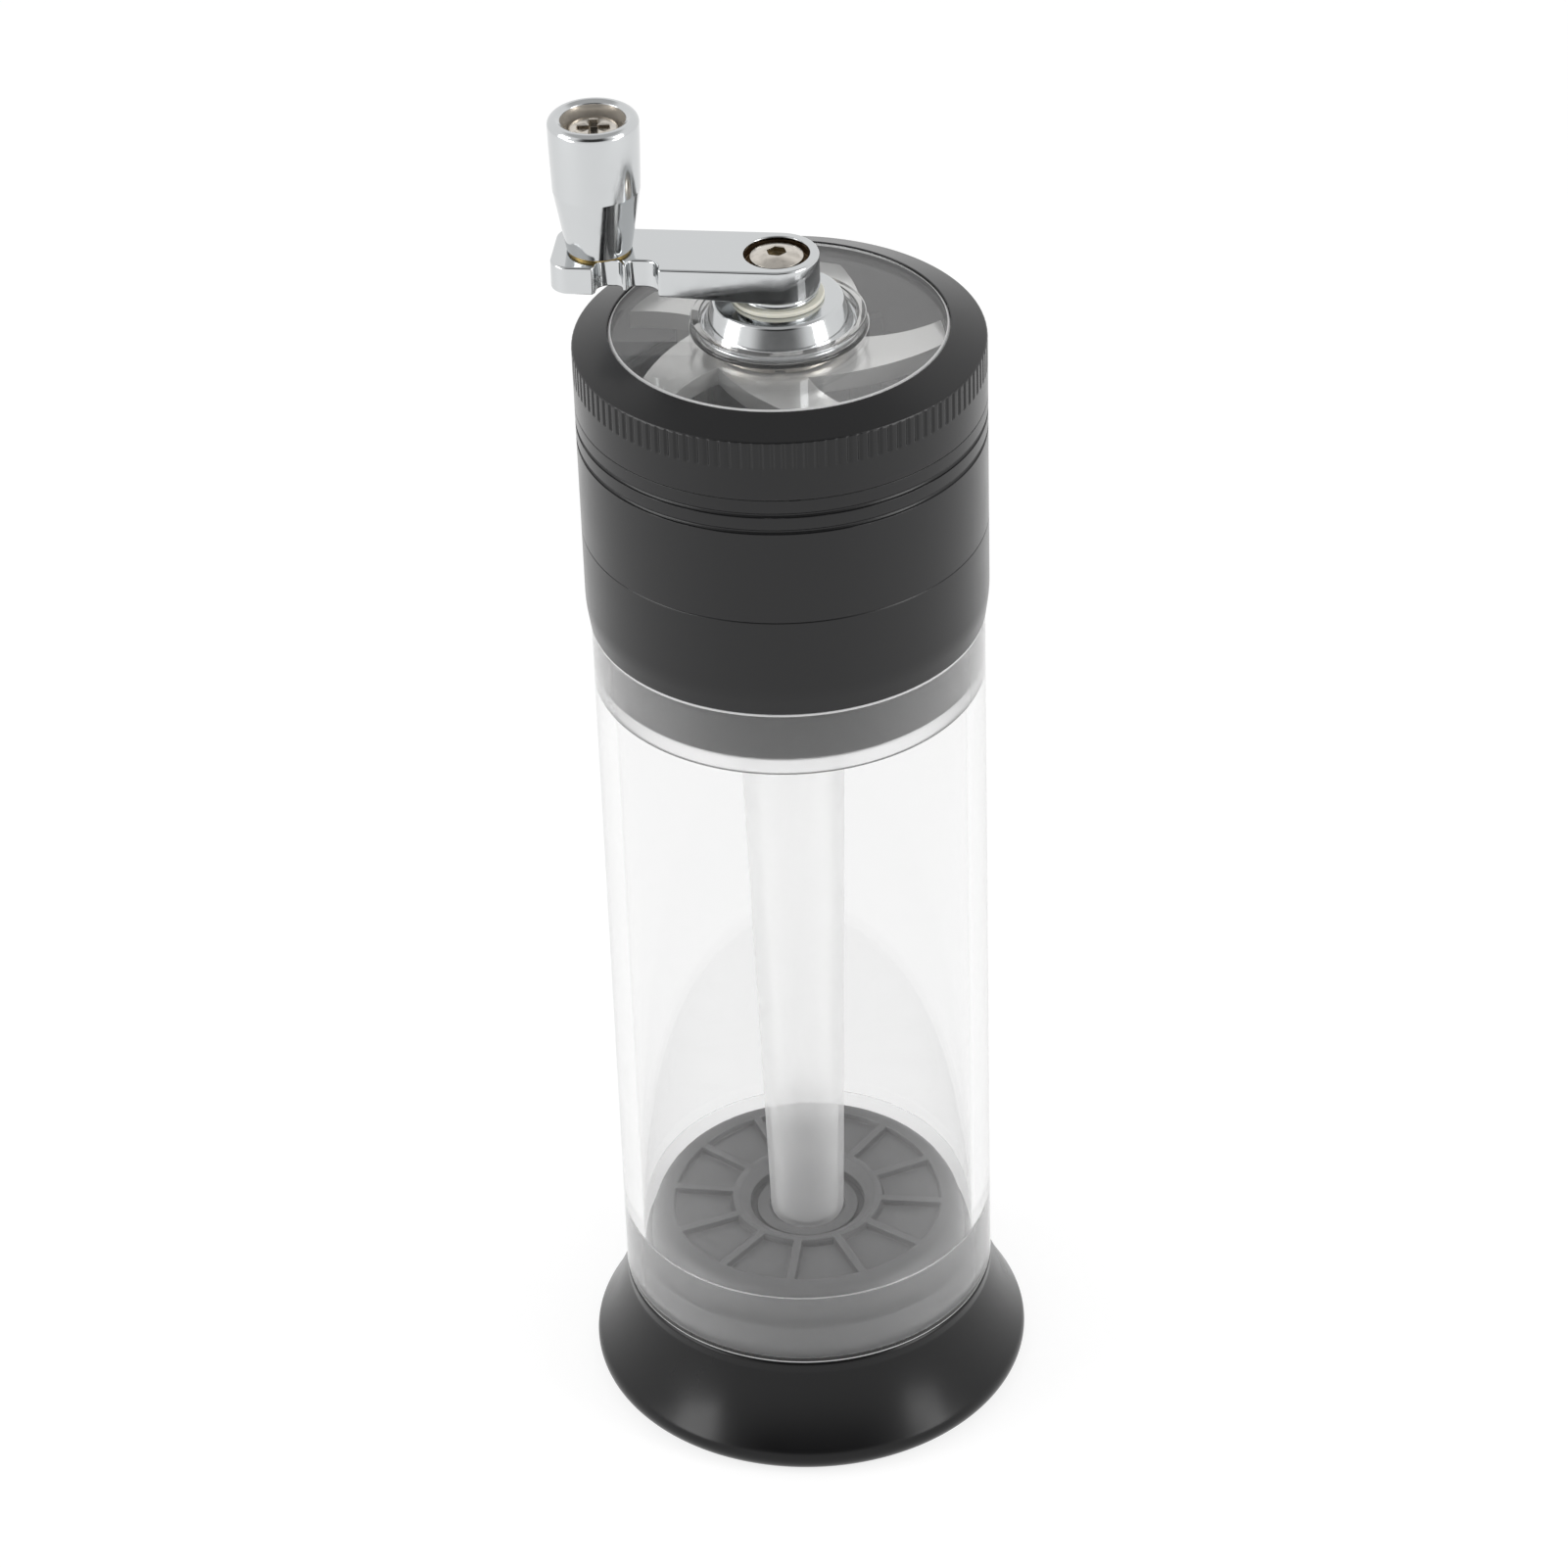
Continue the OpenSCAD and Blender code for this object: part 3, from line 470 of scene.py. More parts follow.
def bend(centre, radius, start, end, steps):
    """Points on an arc about centre from angle start to angle end, in degrees."""
    angle = np.radians(np.linspace(start, end, steps))
    return np.stack([centre[0] + radius * np.cos(angle), centre[1] + radius * np.sin(angle)], 1)


def facing(loop, closed=True):
    """Outward normals of a loop that runs anticlockwise. The tangent at a point is the mean of the two sides
    that meet there, each weighed by its squared length, so that flats stay flat up to a rounded edge."""
    on = np.roll(loop, -1, 0) - loop
    weighed = on * np.linalg.norm(on, axis=1, keepdims=True)
    tangent = weighed + np.roll(weighed, 1, 0)
    if not closed:
        tangent[0], tangent[-1] = on[0], on[-2]
    return unit(np.stack([tangent[:, 1], -tangent[:, 0]], 1))


def woven(grid, normals, ends="loop"):
    """A part of a mesh from a grid of points (rows, columns, 3) that closes round its columns. Its first and
    last rows meet in a loop, stay open, or are poles: "poles" for both, "cup" for the last. A pole is one
    vertex with a fan of triangles."""
    rows, columns = grid.shape[:2]
    index = np.arange(rows * columns).reshape(rows, columns)
    if ends == "poles":
        index[0] = index[0, 0]
    if ends in ("poles", "cup"):
        index[-1] = index[-1, 0]
    used, place = np.unique(index, return_inverse=True)
    place = place.reshape(rows, columns)
    if ends == "loop":
        place = np.concatenate([place, place[:1]])
    low, high = place[:-1], place[1:]
    cells = np.stack([low, np.roll(low, -1, 1), np.roll(high, -1, 1), high], 2).reshape(-1, 4)
    first, last = cells[:, 0] == cells[:, 1], cells[:, 2] == cells[:, 3]
    fans = np.concatenate([cells[first][:, [0, 2, 3]], cells[last][:, :3]])
    points, facings = grid.reshape(-1, 3)[used], normals.reshape(-1, 3)[used]
    return {"points": points, "normals": facings, "quads": cells[~(first | last)], "fans": fans}


def turned(profile, columns=COLUMNS, centre=(0, 0), inset=None, ends="loop"):
    """A turned part. The point in row i and column j is (r_i cos a_j, r_i sin a_j, z_i) about the centre
    line, for the profile's points (r_i, z_i). inset (rows, columns) moves points in towards the centre
    line."""
    ray = spokes(around(columns))
    side = np.stack([-ray[:, 1], ray[:, 0], ray[:, 2]], 1)
    up = np.array([0, 0, 1.0])
    inset = np.zeros((len(profile), columns)) if inset is None else inset
    radius = profile[:, :1] - inset
    normal = facing(profile, ends == "loop")
    slope = (np.roll(inset, -1, 1) - np.roll(inset, 1, 1)) * columns / (4 * math.pi)
    tilt = slope / np.maximum(radius, 0.1) * normal[:, :1]
    grid = radius[:, :, None] * ray + profile[:, 1, None, None] * up + np.array([*centre, 0])
    normals = normal[:, 0, None, None] * ray + normal[:, 1, None, None] * up + tilt[:, :, None] * side
    return woven(grid, unit(normals), ends)


def piece(name, parts, maker, body, slot, *nodes):
    """One object from parts of a mesh in mm, which rides on a body and stands for nodes. Its slot is not
    used.
    """
    points, normals = (np.concatenate([part[kind] for part in parts]) for kind in ("points", "normals"))
    start = np.cumsum([0] + [len(part["points"]) for part in parts])
    faces = []
    for kind in ("quads", "fans"):
        for part, at in zip(parts, start):
            faces += (part[kind] + at).tolist()
    mesh = bpy.data.meshes.new(name)
    mesh.from_pydata((points * MM).tolist(), [], faces)
    mesh.shade_smooth()
    mesh.normals_split_custom_set_from_vertices(normals.tolist())
    mesh.update()
    return placed(name, mesh, maker, body, slot, *nodes)


def linked(name, data):
    """A new object in the scene."""
    thing = bpy.data.objects.new(name, data)
    bpy.context.scene.collection.objects.link(thing)
    return thing


def placed(name, mesh, maker, body, slot, *nodes):
    """Links a mesh as an object of the mill, with its material and body, and hides its nodes. Its slot is not
    used.
    """
    thing = linked(name, mesh)
    mesh.materials.append(made(maker))
    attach(thing, body)
    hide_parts(*nodes)
    return thing


def broken(node, name, maker, body, slot, edge=0.12, sharp=30):
    """A copy of a node's solid: its points are merged, its flat faces joined and its edges bevelled."""
    mesh = frame["nodes"][node].data.copy()
    mesh.name = name
    mesh.materials.clear()
    shell = bmesh.new()
    shell.from_mesh(mesh)
    bmesh.ops.remove_doubles(shell, verts=shell.verts, dist=2e-6)
    bmesh.ops.dissolve_limit(shell, angle_limit=math.radians(0.4), verts=shell.verts, edges=shell.edges)
    shell.to_mesh(mesh)
    shell.free()
    mesh.shade_smooth()
    thing = placed(name, mesh, maker, body, slot, node)
    rounding = thing.modifiers.new("Broken edges", "BEVEL")
    rounding.width = edge * MM
    rounding.segments = 2
    rounding.limit_method = "ANGLE"
    rounding.angle_limit = math.radians(sharp)
    thing.modifiers.new("Weighted normals", "WEIGHTED_NORMAL").keep_sharp = True
    return thing


def paint(thing, maker, radii, *levels, centre=(0, 0)):
    """Gives some faces of a piece another finish: those whose middle lies between two radii from a centre
    line and between two levels, in mm. More pairs of levels may follow."""
    mesh = thing.data
    middle = np.empty(3 * len(mesh.polygons), np.float32)
    index = np.empty(len(mesh.polygons), np.int32)
    mesh.polygons.foreach_get("center", middle)
    mesh.polygons.foreach_get("material_index", index)
    x, y, z = middle.reshape(-1, 3).T / MM
    radius = np.hypot(x - centre[0], y - centre[1])
    between = np.any([(z > low) & (z < high) for low, high in levels], 0)
    index[between & (radius > radii[0]) & (radius < radii[1])] = len(mesh.materials)
    mesh.materials.append(made(maker))
    mesh.polygons.foreach_set("material_index", index)


def repaint(node, maker):
    """Gives a node that stays as packed its finish."""
    mesh = frame["nodes"][node].data
    mesh.materials.clear()
    mesh.materials.append(made(maker))


def ring(low, high, inner, outer, edge=0.12):
    """Profile of a plain ring with rounded edges."""
    return rounded([(inner, low), (outer, low), (outer, high), (inner, high)], edge=edge)


def disc(low, high, outer, edge=0.12):
    """Open profile of a solid disc, from its axis below to its axis above."""
    return rounded([(0, low), (outer, low, edge), (outer, high, edge), (0, high)])


# Foot


def foot_profile():
    """The foot's section: a hollow flank that touches the round lip, a short neck, the plate, the hollow."""
    lip, lip_r, flank_r, neck = np.array([32.6, 3.2]), 2.9, 50, np.array([30, 17.1])
    gap = np.linalg.norm(lip - neck)
    along = (flank_r**2 - (flank_r + lip_r) ** 2 + gap**2) / (2 * gap)
    way = (lip - neck) / gap
    flank = neck + along * way + math.sqrt(flank_r**2 - along**2) * np.array([-way[1], way[0]])
    lean = math.degrees(math.atan2(*(flank - lip)[::-1]))
    flank_end = math.degrees(math.atan2(*(neck - flank)[::-1])) % 360
    return np.concatenate([
        rounded([
            (0, 15.1), (26.5, 15.1, 0.4), (26.5, 1.5, 0.2), (30.95, 1.5, 0.1), (30.95, 0.3, 0.2), (31, 0.3),
        ])[:-1],
        bend(lip, lip_r, -90, lean, 24),
        bend(flank, flank_r, lean + 180, flank_end, 48)[1:],
        rounded([(30, 17.3), (30, FOOT_TOP, 0.7), (0, FOOT_TOP)]),
    ])


class MILL_OT_foot(bpy.types.Operator):
    """Flared foot with its lip, the rubber pad under it and the three screws inside"""

    bl_idname = "mill.foot"
    bl_label = "Foot"

    def execute(self, context):
        piece(
            "foot_shell", [turned(foot_profile(), ends="poles")], foot_plastic,
            "foot", "gloss_black_plastic", "foot_flare",
        )
        piece(
            "standing_pad", [turned(disc(0, 1.5, 30.8, 0.3), ends="poles")], rubber,
            "foot", "black_rubber", "foot_pad",
        )
        repaint("foot_screws", screw_nickel)
        return {"FINISHED"}


def plug_rows():
    """The plug's section without pockets, as rows from the axis in the socket over the top to the base."""
    ring_top, groove, grip_top, grip_r, above = 29, 28.5, 25.1, 27.45, 50
    inside = rounded([
        (0, SOCKET), (6.2, SOCKET, 0.3), (6.2, ring_top, 0.15), (8.3, ring_top, 0.15), (8.3, groove, 0.1),
        (9.3, groove, 0.1), (9.3, 29.8, 0.2), (11.1, PLUG_TOP, 0.25), (11.9, PLUG_TOP), (11.9, above),
    ])[:-2]
    outside = rounded([
        (22.6, PLUG_TOP), (25.7, PLUG_TOP, 2.6), (25.7, grip_top, 0.03), (grip_r, grip_top, 0.2),
        (grip_r, FOOT_TOP, 0.15), (0, FOOT_TOP),
    ], 8)
    radii = [12.2, 12.5, 12.65, 12.8, 13.1, 14, 16, 18, 20, 21, 21.2, 21.4, 21.55, 21.7, 21.9, 22.2]
    middle = np.array([(r, PLUG_TOP) for r in radii])
    return np.concatenate([inside, middle, outside])


def eased(value, width):
    """Rises from 0 to 1 as value goes from minus half the width to plus half, flat at both ends."""
    share = np.clip(value / width + 0.5, 0, 1)
    return share * share * (3 - 2 * share)


def plug_part():
    """The plug as one grid. Columns run parallel to the nearest rib, so that each rib has straight edges: a
    column at offset d from a rib's middle lies at the angle asin(d / r). A pocket is 1 mm deep, and its depth
    is eased over the rib's soft edge by the distance to the pocket's nearest edge."""
    soft = bpy.context.scene.mill_sizes.rib_round / MM
    ribs, rib_half, pocket_in, pocket_out, rib_turn = 12, 0.75, 12.5, 21.8, math.radians(22)
    profile = plug_rows()
    near_rib = np.array([0, 0.35, 0.55, 0.65, 0.75, 0.85, 0.95, 1.15, 1.5])
    middle = np.linspace(0, 1, 10)[1:-1]
    pitch = 2 * math.pi / ribs
    radius = np.maximum(profile[:, :1], 1e-6)
    reach = np.arcsin(np.clip(near_rib / np.maximum(radius, 6.6), 0, 1))
    edge = reach[:, -1:]
    half = np.concatenate([reach, edge + (pitch - 2 * edge) * middle, (pitch - reach)[:, :0:-1]], 1)
    angle = (half[:, None] + (np.arange(ribs) * pitch)[None, :, None]).reshape(len(profile), -1) + rib_turn
    turn = (angle - rib_turn) % pitch
    from_rib = radius * np.sin(np.minimum(turn, pitch - turn)) - rib_half
    inside = np.minimum(np.minimum(radius - pocket_in, pocket_out - radius), from_rib)
    top = profile[:, 1:] > PLUG_TOP - 0.01
    sunk = np.where(top, eased(inside, soft), 0)
    ray = spokes(angle)
    grid = profile[:, :1, None] * ray
    grid[:, :, 2] = profile[:, 1:] - sunk
    across = np.roll(grid, -1, 1) - np.roll(grid, 1, 1)
    along = np.roll(grid, -1, 0) - np.roll(grid, 1, 0)
    normals = np.cross(across, along)
    flat = facing(profile, False)
    plain = flat[:, 0, None, None] * ray
    plain[:, :, 2] += flat[:, 1, None]
    shaped = top & (profile[:, :1] > 12.1) & (profile[:, :1] < 22.5)
    return woven(grid, unit(np.where(shaped[:, :, None], normals, plain)), "poles")


class MILL_OT_plug(bpy.types.Operator):
    """Grey plug with twelve pockets and the fill tube's well"""

    bl_idname = "mill.plug"
    bl_label = "Plug"

    def execute(self, context):
        thing = piece("ribbed_plug", [plug_part()], plug_metal, "foot", "anodised_plug", "tube_plug")
        # Painted shade: the pocket walls, then the groove round the well, get the darker grey where shade
        # falls.
        paint(thing, plug_painted_shade, (12, 22), (PLUG_TOP - 0.9, PLUG_TOP - 0.1))
        paint(thing, plug_painted_shade, (8.2, 9.6), (0, 29.9))
        return {"FINISHED"}


# Tubes


class MILL_OT_tubes(bpy.types.Operator):
    """Clear tube with its two turned seats, and the milky fill tube inside it"""

    bl_idname = "mill.tubes"
    bl_label = "Tubes"

    def execute(self, context):
        edge = context.scene.mill_sizes.end_edge / MM
        bore_r, low_step, high_step = 27, 31.4, 132.8
        tube = turned(rounded([
            (SEAT_R, FOOT_TOP), (TUBE_R, FOOT_TOP, edge), (TUBE_R, TUBE_TOP, edge), (SEAT_R, TUBE_TOP),
            (SEAT_R, high_step), (bore_r, high_step), (bore_r, low_step), (SEAT_R, low_step),
        ], edge=0.1))
        thing = piece("storage_tube", [tube], tube_acrylic, "tube", "clear_acrylic", "clear_tube")
        seats = (0, low_step + 0.05), (high_step - 0.05, math.inf)
        paint(thing, turned_acrylic, (0, SEAT_R + 0.1), *seats)
        paint(thing, sawn_acrylic, (TUBE_R - 0.5, math.inf), (0, FOOT_TOP + 0.5), (TUBE_TOP - 0.5, math.inf))
        mouth, floor_top = 138.8, SOCKET + 0.9
        wall = rounded([
            (0, SOCKET), (5.9, SOCKET, 2), (8.5, mouth, 0.3), (7.6, mouth, 0.3), (5, floor_top, 1.1),
            (0, floor_top),
        ], 10)
        piece(
            "inner_fill_tube", [turned(wall, 192, ends="poles")], milky_plastic,
            "fill", "milky_plastic", "fill_tube",
        )
        return {"FINISHED"}


# Head


class MILL_OT_collar(bpy.types.Operator):
    """Collar of the head with its spigot and the funnel that they hold"""

    bl_idname = "mill.collar"
    bl_label = "Collar"

    def execute(self, context):
        edge = context.scene.mill_sizes.broken_edge / MM
        counterbore_r, flange_r, spigot_r, spigot_bore_r = 28.5, 28.45, 27.45, 25.05
        collar = rounded([
            (SEAT_R, TUBE_TOP), (30.15, TUBE_TOP), (HEAD_R, FLANGE_BASE, 20), (HEAD_R, COLLAR_TOP, 0.25),
            (counterbore_r, COLLAR_TOP), (counterbore_r, FLANGE_BASE), (SEAT_R, FLANGE_BASE),
        ], edge=edge)
        spigot = rounded([
            (spigot_bore_r, 134.7), (26.45, 134.7, 0.2), (spigot_r, 135.7, 0.2), (spigot_r, FLANGE_BASE),
            (flange_r, FLANGE_BASE), (flange_r, FUNNEL_SEAT), (spigot_bore_r, FUNNEL_SEAT),
        ], edge=edge)
        spout, rim_r, rim_top = 129.8, 24.75, 151.4
        funnel = rounded([
            (7.2, spout, 0.3), (7.2, 140.8, 1), (rim_r, FUNNEL_SEAT, 0.3), (flange_r, FUNNEL_SEAT),
            (flange_r, rim_top), (rim_r, rim_top, 0.6), (6.2, 141.8, 1), (6.2, spout, 0.3),
        ], edge=edge)
        slot = "black_anodised"
        piece("collar_shell", [turned(collar)], black_anodised, "head", slot, "head_collar")
        piece("collar_spigot", [turned(spigot)], black_anodised, "head", slot, "tube_spigot")
        piece("collar_funnel", [turned(funnel)], black_anodised, "head", slot, "funnel")
        return {"FINISHED"}


class MILL_OT_chamber(bpy.types.Operator):
    """Grinding chamber with its grooves, teeth and drop holes, and the magnet in its floor"""

    bl_idname = "mill.chamber"
    bl_label = "Grinding chamber"

    def execute(self, context):
        chamber = broken("grinding_chamber", "chamber_body", black_anodised, "chamber", "black_anodised", 0.1)
        paint(chamber, milled_anodised, (0, 27.1), (176.3, math.inf))
        magnet = turned(disc(174.4, 176.4, MAGNET_R), 96, ends="poles")
        piece("chamber_magnet_disc", [magnet], screw_nickel, "chamber", "steel", "chamber_magnet")
        return {"FINISHED"}


def lid_part():
    """The lid ring. 120 flutes are cut into its upper band: across each flute the inset follows half an
    ellipse, and at the band's ends it comes and goes within less than half a millimetre."""
    sizes = bpy.context.scene.mill_sizes
    edge = sizes.broken_edge / MM
    bore_r, spigot_r, opening_r, seat_r, gasket_top = 27.2, 28.45, 25.25, 26.85, 192.4
    flutes_from, flutes_to = 187.05, 191.1
    loop = rounded([
        (bore_r, 177.5, 0.3), (spigot_r, 177.5, 0.3), (spigot_r, LID_BASE, 0.05), (HEAD_R, LID_BASE, 0.25),
        *[(HEAD_R, height) for height in (186.7, 186.9, flutes_from, 187.2, 187.5, 189, 190.5, 190.9)],
        (HEAD_R, 191.5, sizes.lid_edge / MM), (opening_r + 0.1, WINDOW_TOP, 0.12), (opening_r, 193.45, 0.05),
        (opening_r, gasket_top, 0.05), (seat_r, gasket_top, 0.05), (seat_r, RETAINER_BASE, 0.05),
        (bore_r, RETAINER_BASE, edge),
    ], 4)
    columns, flutes, half_width = 1440, 120, 0.3
    turn = around(columns)
    pitch = 2 * math.pi / flutes
    off = HEAD_R * ((turn + pitch / 2) % pitch - pitch / 2)
    groove = sizes.flute_depth / MM * np.sqrt(np.maximum(1 - (off / half_width) ** 2, 0))
    height = loop[:, 1]
    outer = loop[:, 0] > HEAD_R - 0.35
    fading = np.where(height < flutes_to, 1, eased(flutes_to + 0.2 - height, 0.4))
    share = eased(height - flutes_from, 0.3) * fading * outer
    return turned(loop, columns, inset=share[:, None] * groove)


class MILL_OT_lid(bpy.types.Operator):
    """Fluted lid ring with the clear window, its gasket and retaining ring"""

    bl_idname = "mill.lid"
    bl_label = "Lid"

    def execute(self, context):
        sizes = context.scene.mill_sizes
        boss, chamfer = sizes.boss_round / MM, sizes.window_edge / MM
        hole_r, pane_r, boss_r, boss_bore_r, boss_top = 7.05, 25.2, 13, 11.65, 195.5
        window = rounded([
            (hole_r, WINDOW_BASE, 0.1), (WINDOW_R, WINDOW_BASE, 0.1), (WINDOW_R, WINDOW_FLANGE, 0.1),
            (pane_r, WINDOW_FLANGE), (pane_r, WINDOW_TOP - chamfer), (pane_r - chamfer, WINDOW_TOP),
            (boss_r, WINDOW_TOP, 0.4), (boss_r, boss_top, boss), (boss_bore_r, boss_top, boss),
            (boss_bore_r, WINDOW_TOP, 0.15), (hole_r, WINDOW_TOP, 0.1),
        ], edge=0.05)
        slot = "black_anodised"
        piece("fluted_ring", [lid_part()], black_anodised, "lid", slot, "lid_ring")
        thing = piece("clear_window", [turned(window)], window_acrylic, "lid", "clear_acrylic", "window")
        paint(thing, sawn_acrylic, (pane_r - 0.5, math.inf), (WINDOW_FLANGE - 0.05, math.inf))
        gasket = turned(ring(WINDOW_FLANGE, 192.4, 25.25, WINDOW_R, 0.08))
        piece("window_gasket_ring", [gasket], rubber, "lid", "black_rubber", "window_gasket")
        retainer = turned(ring(RETAINER_BASE, WINDOW_BASE, 24.8, WINDOW_R, 0.2))
        piece("window_retaining_ring", [retainer], black_anodised, "lid", slot, "window_retainer")
        return {"FINISHED"}


class MILL_OT_hub(bpy.types.Operator):
    """Chromed hub bush in the window with its nut, and the nylon washer on it"""

    bl_idname = "mill.hub"
    bl_label = "Hub"

    def execute(self, context):
        flange_r, sleeve_r = 11.5, 7
        bush = rounded([
            (SHAFT_BORE_R, BUSH_BASE), (sleeve_r, BUSH_BASE), (sleeve_r, WINDOW_TOP, 0.05),
            (flange_r, WINDOW_TOP), (flange_r, 194.3, 0.25), (11.05, 194.4), (9.5, HUB_TOP, 0.75),
            (SHAFT_BORE_R, HUB_TOP),
        ], edge=0.1)
        piece("hub_bush_turned", [turned(bush)], turned_chrome, "lid", "chrome", "hub_bush")
        broken("bush_nut", "bush_nut_notched", screw_nickel, "lid", "steel")
        nylon_ring = turned(ring(HUB_TOP, NECK_BASE, SHAFT_BORE_R, 6.85, 0.2), 192)
        piece("nylon_ring", [nylon_ring], nylon, "crank", "nylon", "nylon_washer")
        return {"FINISHED"}


class MILL_OT_rotor(bpy.types.Operator):
    """Rotor with five curved blades and its teeth, the magnet under it, the thrust washer and the drive
    shaft"""

    bl_idname = "mill.rotor"
    bl_label = "Rotor"

    def execute(self, context):
        broken("rotor", "bladed_rotor", satin_chrome, "crank", "chrome", 0.2)
        magnet = turned(disc(177.2, 179.2, MAGNET_R), 96, ends="poles")
        piece("rotor_magnet_disc", [magnet], screw_nickel, "crank", "steel", "rotor_magnet")
        washer = turned(ring(BUSH_BASE - 0.5, BUSH_BASE, SHAFT_BORE_R, 6.7, 0.1), 128)
        piece("thrust_ring", [washer], screw_nickel, "crank", "steel", "thrust_washer")
        broken("drive_shaft", "drive_shaft_turned", screw_nickel, "crank", "steel")
        return {"FINISHED"}


# Crank


ARM_TURN = 173  # degrees from +X
KNOB_AT = 26 * np.array([math.cos(math.radians(ARM_TURN)), math.sin(math.radians(ARM_TURN))])


def divided(loop, longest):
    """The loop with its long sides divided into equal steps of at most longest."""
    on = np.roll(loop, -1, 0) - loop
    count = np.maximum(np.ceil(np.linalg.norm(on, axis=1) / longest), 1).astype(int)
    side = np.repeat(np.arange(len(loop)), count)
    step = np.arange(len(side)) - np.repeat(np.cumsum(count) - count, count)
    return loop[side] + on[side] * (step / count[side])[:, None]


def arm_outline():
    """Plan of the crank arm, rounded at its corners, with the shaft at the origin and the knob on +X."""
    return divided(rounded([
        (-6.3, 6.3, 6.25), (-6.3, -6.3, 6.25), (32.9, -6.3, 3), (32.9, 6.3, 3), (26.1, 6.3, 0.6),
        (25.9, 3.5, 1.75), (22.2, 3.5, 1.1), (22.1, 4.95, 0.3), (21.45, 4.95, 0.3), (21.35, 3.5, 1),
        (16.8, 3.5, 2.1), (16.8, 6.3, 0.5),
    ], 12), 1)


def flat_fill(loops, height, up):
    """A face between loops of points (x, y), the first the outline and the others holes, at one height or at
    a height for each point."""
    rims = [[Vector((x, y, 0)) for x, y in loop] for loop in loops]
    triangles = np.array(tessellate_polygon(rims))
    points = np.concatenate(loops)
    a, b, c = (points[triangles[:, k]] for k in range(3))
    turn = (b[:, 0] - a[:, 0]) * (c[:, 1] - a[:, 1]) - (b[:, 1] - a[:, 1]) * (c[:, 0] - a[:, 0])
    wrong = (turn > 0) != up
    triangles[wrong] = triangles[wrong][:, ::-1]
    grid = np.column_stack([points, np.broadcast_to(height, len(points))])
    normals = np.tile([0, 0, 1.0 if up else -1.0], (len(points), 1))
    return {"points": grid, "normals": normals, "quads": np.zeros((0, 4), int), "fans": triangles}


def swept(outline, rise, deeper):
    """The wall of a casting: row i is the outline moved in by inset_i along its own normals, at the height
    z_i. Below the top row, the heights are stretched by the factor deeper of each column."""
    normal = facing(outline)
    lean = facing(np.stack([-rise[:, 0], rise[:, 1]], 1), False)
    plan = outline[None] - rise[:, :1, None] * normal[None]
    top = rise[-1, 1]
    height = top - (top - rise[:, 1:]) * deeper[None]
    grid = np.concatenate([plan, height[:, :, None]], 2)
    across = lean[:, 0, None, None] * normal[None]
    normals = np.concatenate([across, np.broadcast_to(lean[:, 1, None, None], (*plan.shape[:2], 1))], 2)
    return woven(grid, normals, "open")


def turned_about(parts, angle):
    """Parts turned about the drive shaft by an angle in degrees."""
    a = math.radians(angle)
    matrix = np.array([[math.cos(a), math.sin(a), 0], [-math.sin(a), math.cos(a), 0], [0, 0, 1]])
    return [{**part, **{name: part[name] @ matrix for name in ("points", "normals")}} for part in parts]


def arm():
    """The crank arm: a wall that leans in evenly, as a casting's draft does, a belly that falls towards the
    drive shaft, flat faces, the counterbore and the neck below."""
    sizes = bpy.context.scene.mill_sizes
    edge, draft = sizes.arm_round / MM, sizes.arm_draft / MM
    outline, columns, low, top, low_round = arm_outline(), 144, 201.1, ARM_TOP, 0.25
    climb = np.linspace(0, 1, 13)
    corner = np.radians(np.arange(0, 90, 18))
    below = np.stack([low_round * (1 - np.sin(corner)), low + low_round * (1 - np.cos(corner))], 1)
    wall = np.stack([draft * climb, low + low_round + (top - edge - low - low_round) * climb], 1)
    slant = np.radians(np.linspace(15, 90, 8))
    above = np.stack([draft + edge * (1 - np.cos(slant)), top - edge + edge * np.sin(slant)], 1)
    rise = np.concatenate([below, wall, above])
    waist, sag = 16.8, 1
    deeper = 1 + sag * np.clip(1 - outline[:, 0] / waist, 0, 1) / (top - low)
    side = swept(outline, rise, deeper)
    wall_r, turn_r, floor_at, brown_top = 4.85, 0.2, 203.8, 204.95
    hollow = np.concatenate([
        [(wall_r + turn_r, top)], bend((wall_r + turn_r, top - turn_r), turn_r, 90, 180, 6)[1:],
        [(wall_r, brown_top), (wall_r, 204.4)], bend((wall_r - turn_r, floor_at + turn_r), turn_r, 0, -90, 6),
        [(0, floor_at)],
    ])
    mouth = hollow[0, 0] * spokes(around(columns))[:, :2]
    parts = [
        side,
        flat_fill([side["points"][-len(outline):, :2], mouth], top, True),
        flat_fill([side["points"][: len(outline), :2]], side["points"][: len(outline), 2], False),
        turned(hollow, columns, ends="cup"),
        turned(rounded([
            (SHAFT_BORE_R, NECK_BASE, 0.1), (6, NECK_BASE, 0.25), (6, low + 0.5), (SHAFT_BORE_R, low + 0.5),
        ]), columns),
    ]
    thing = piece("cast_arm", turned_about(parts, ARM_TURN), cast_chrome, "crank", "chrome", "crank_arm")
    paint(thing, counterbore_brown, (0, wall_r + 0.1), (floor_at - 0.1, brown_top))


def driven(profile, outline, first, centre=(0, 0)):
    """A turned part with a tool's socket. outline is the socket's distance from the centre line at each
    angle. The last five rows take it, the first of them only by a share."""
    share = np.concatenate([np.zeros(len(profile) - 5), [first, 1, 1, 1, 1]])
    inset = share[:, None] * profile[:, :1] * (1 - outline / outline.max())
    return turned(profile, len(outline), centre, inset, ends="poles")


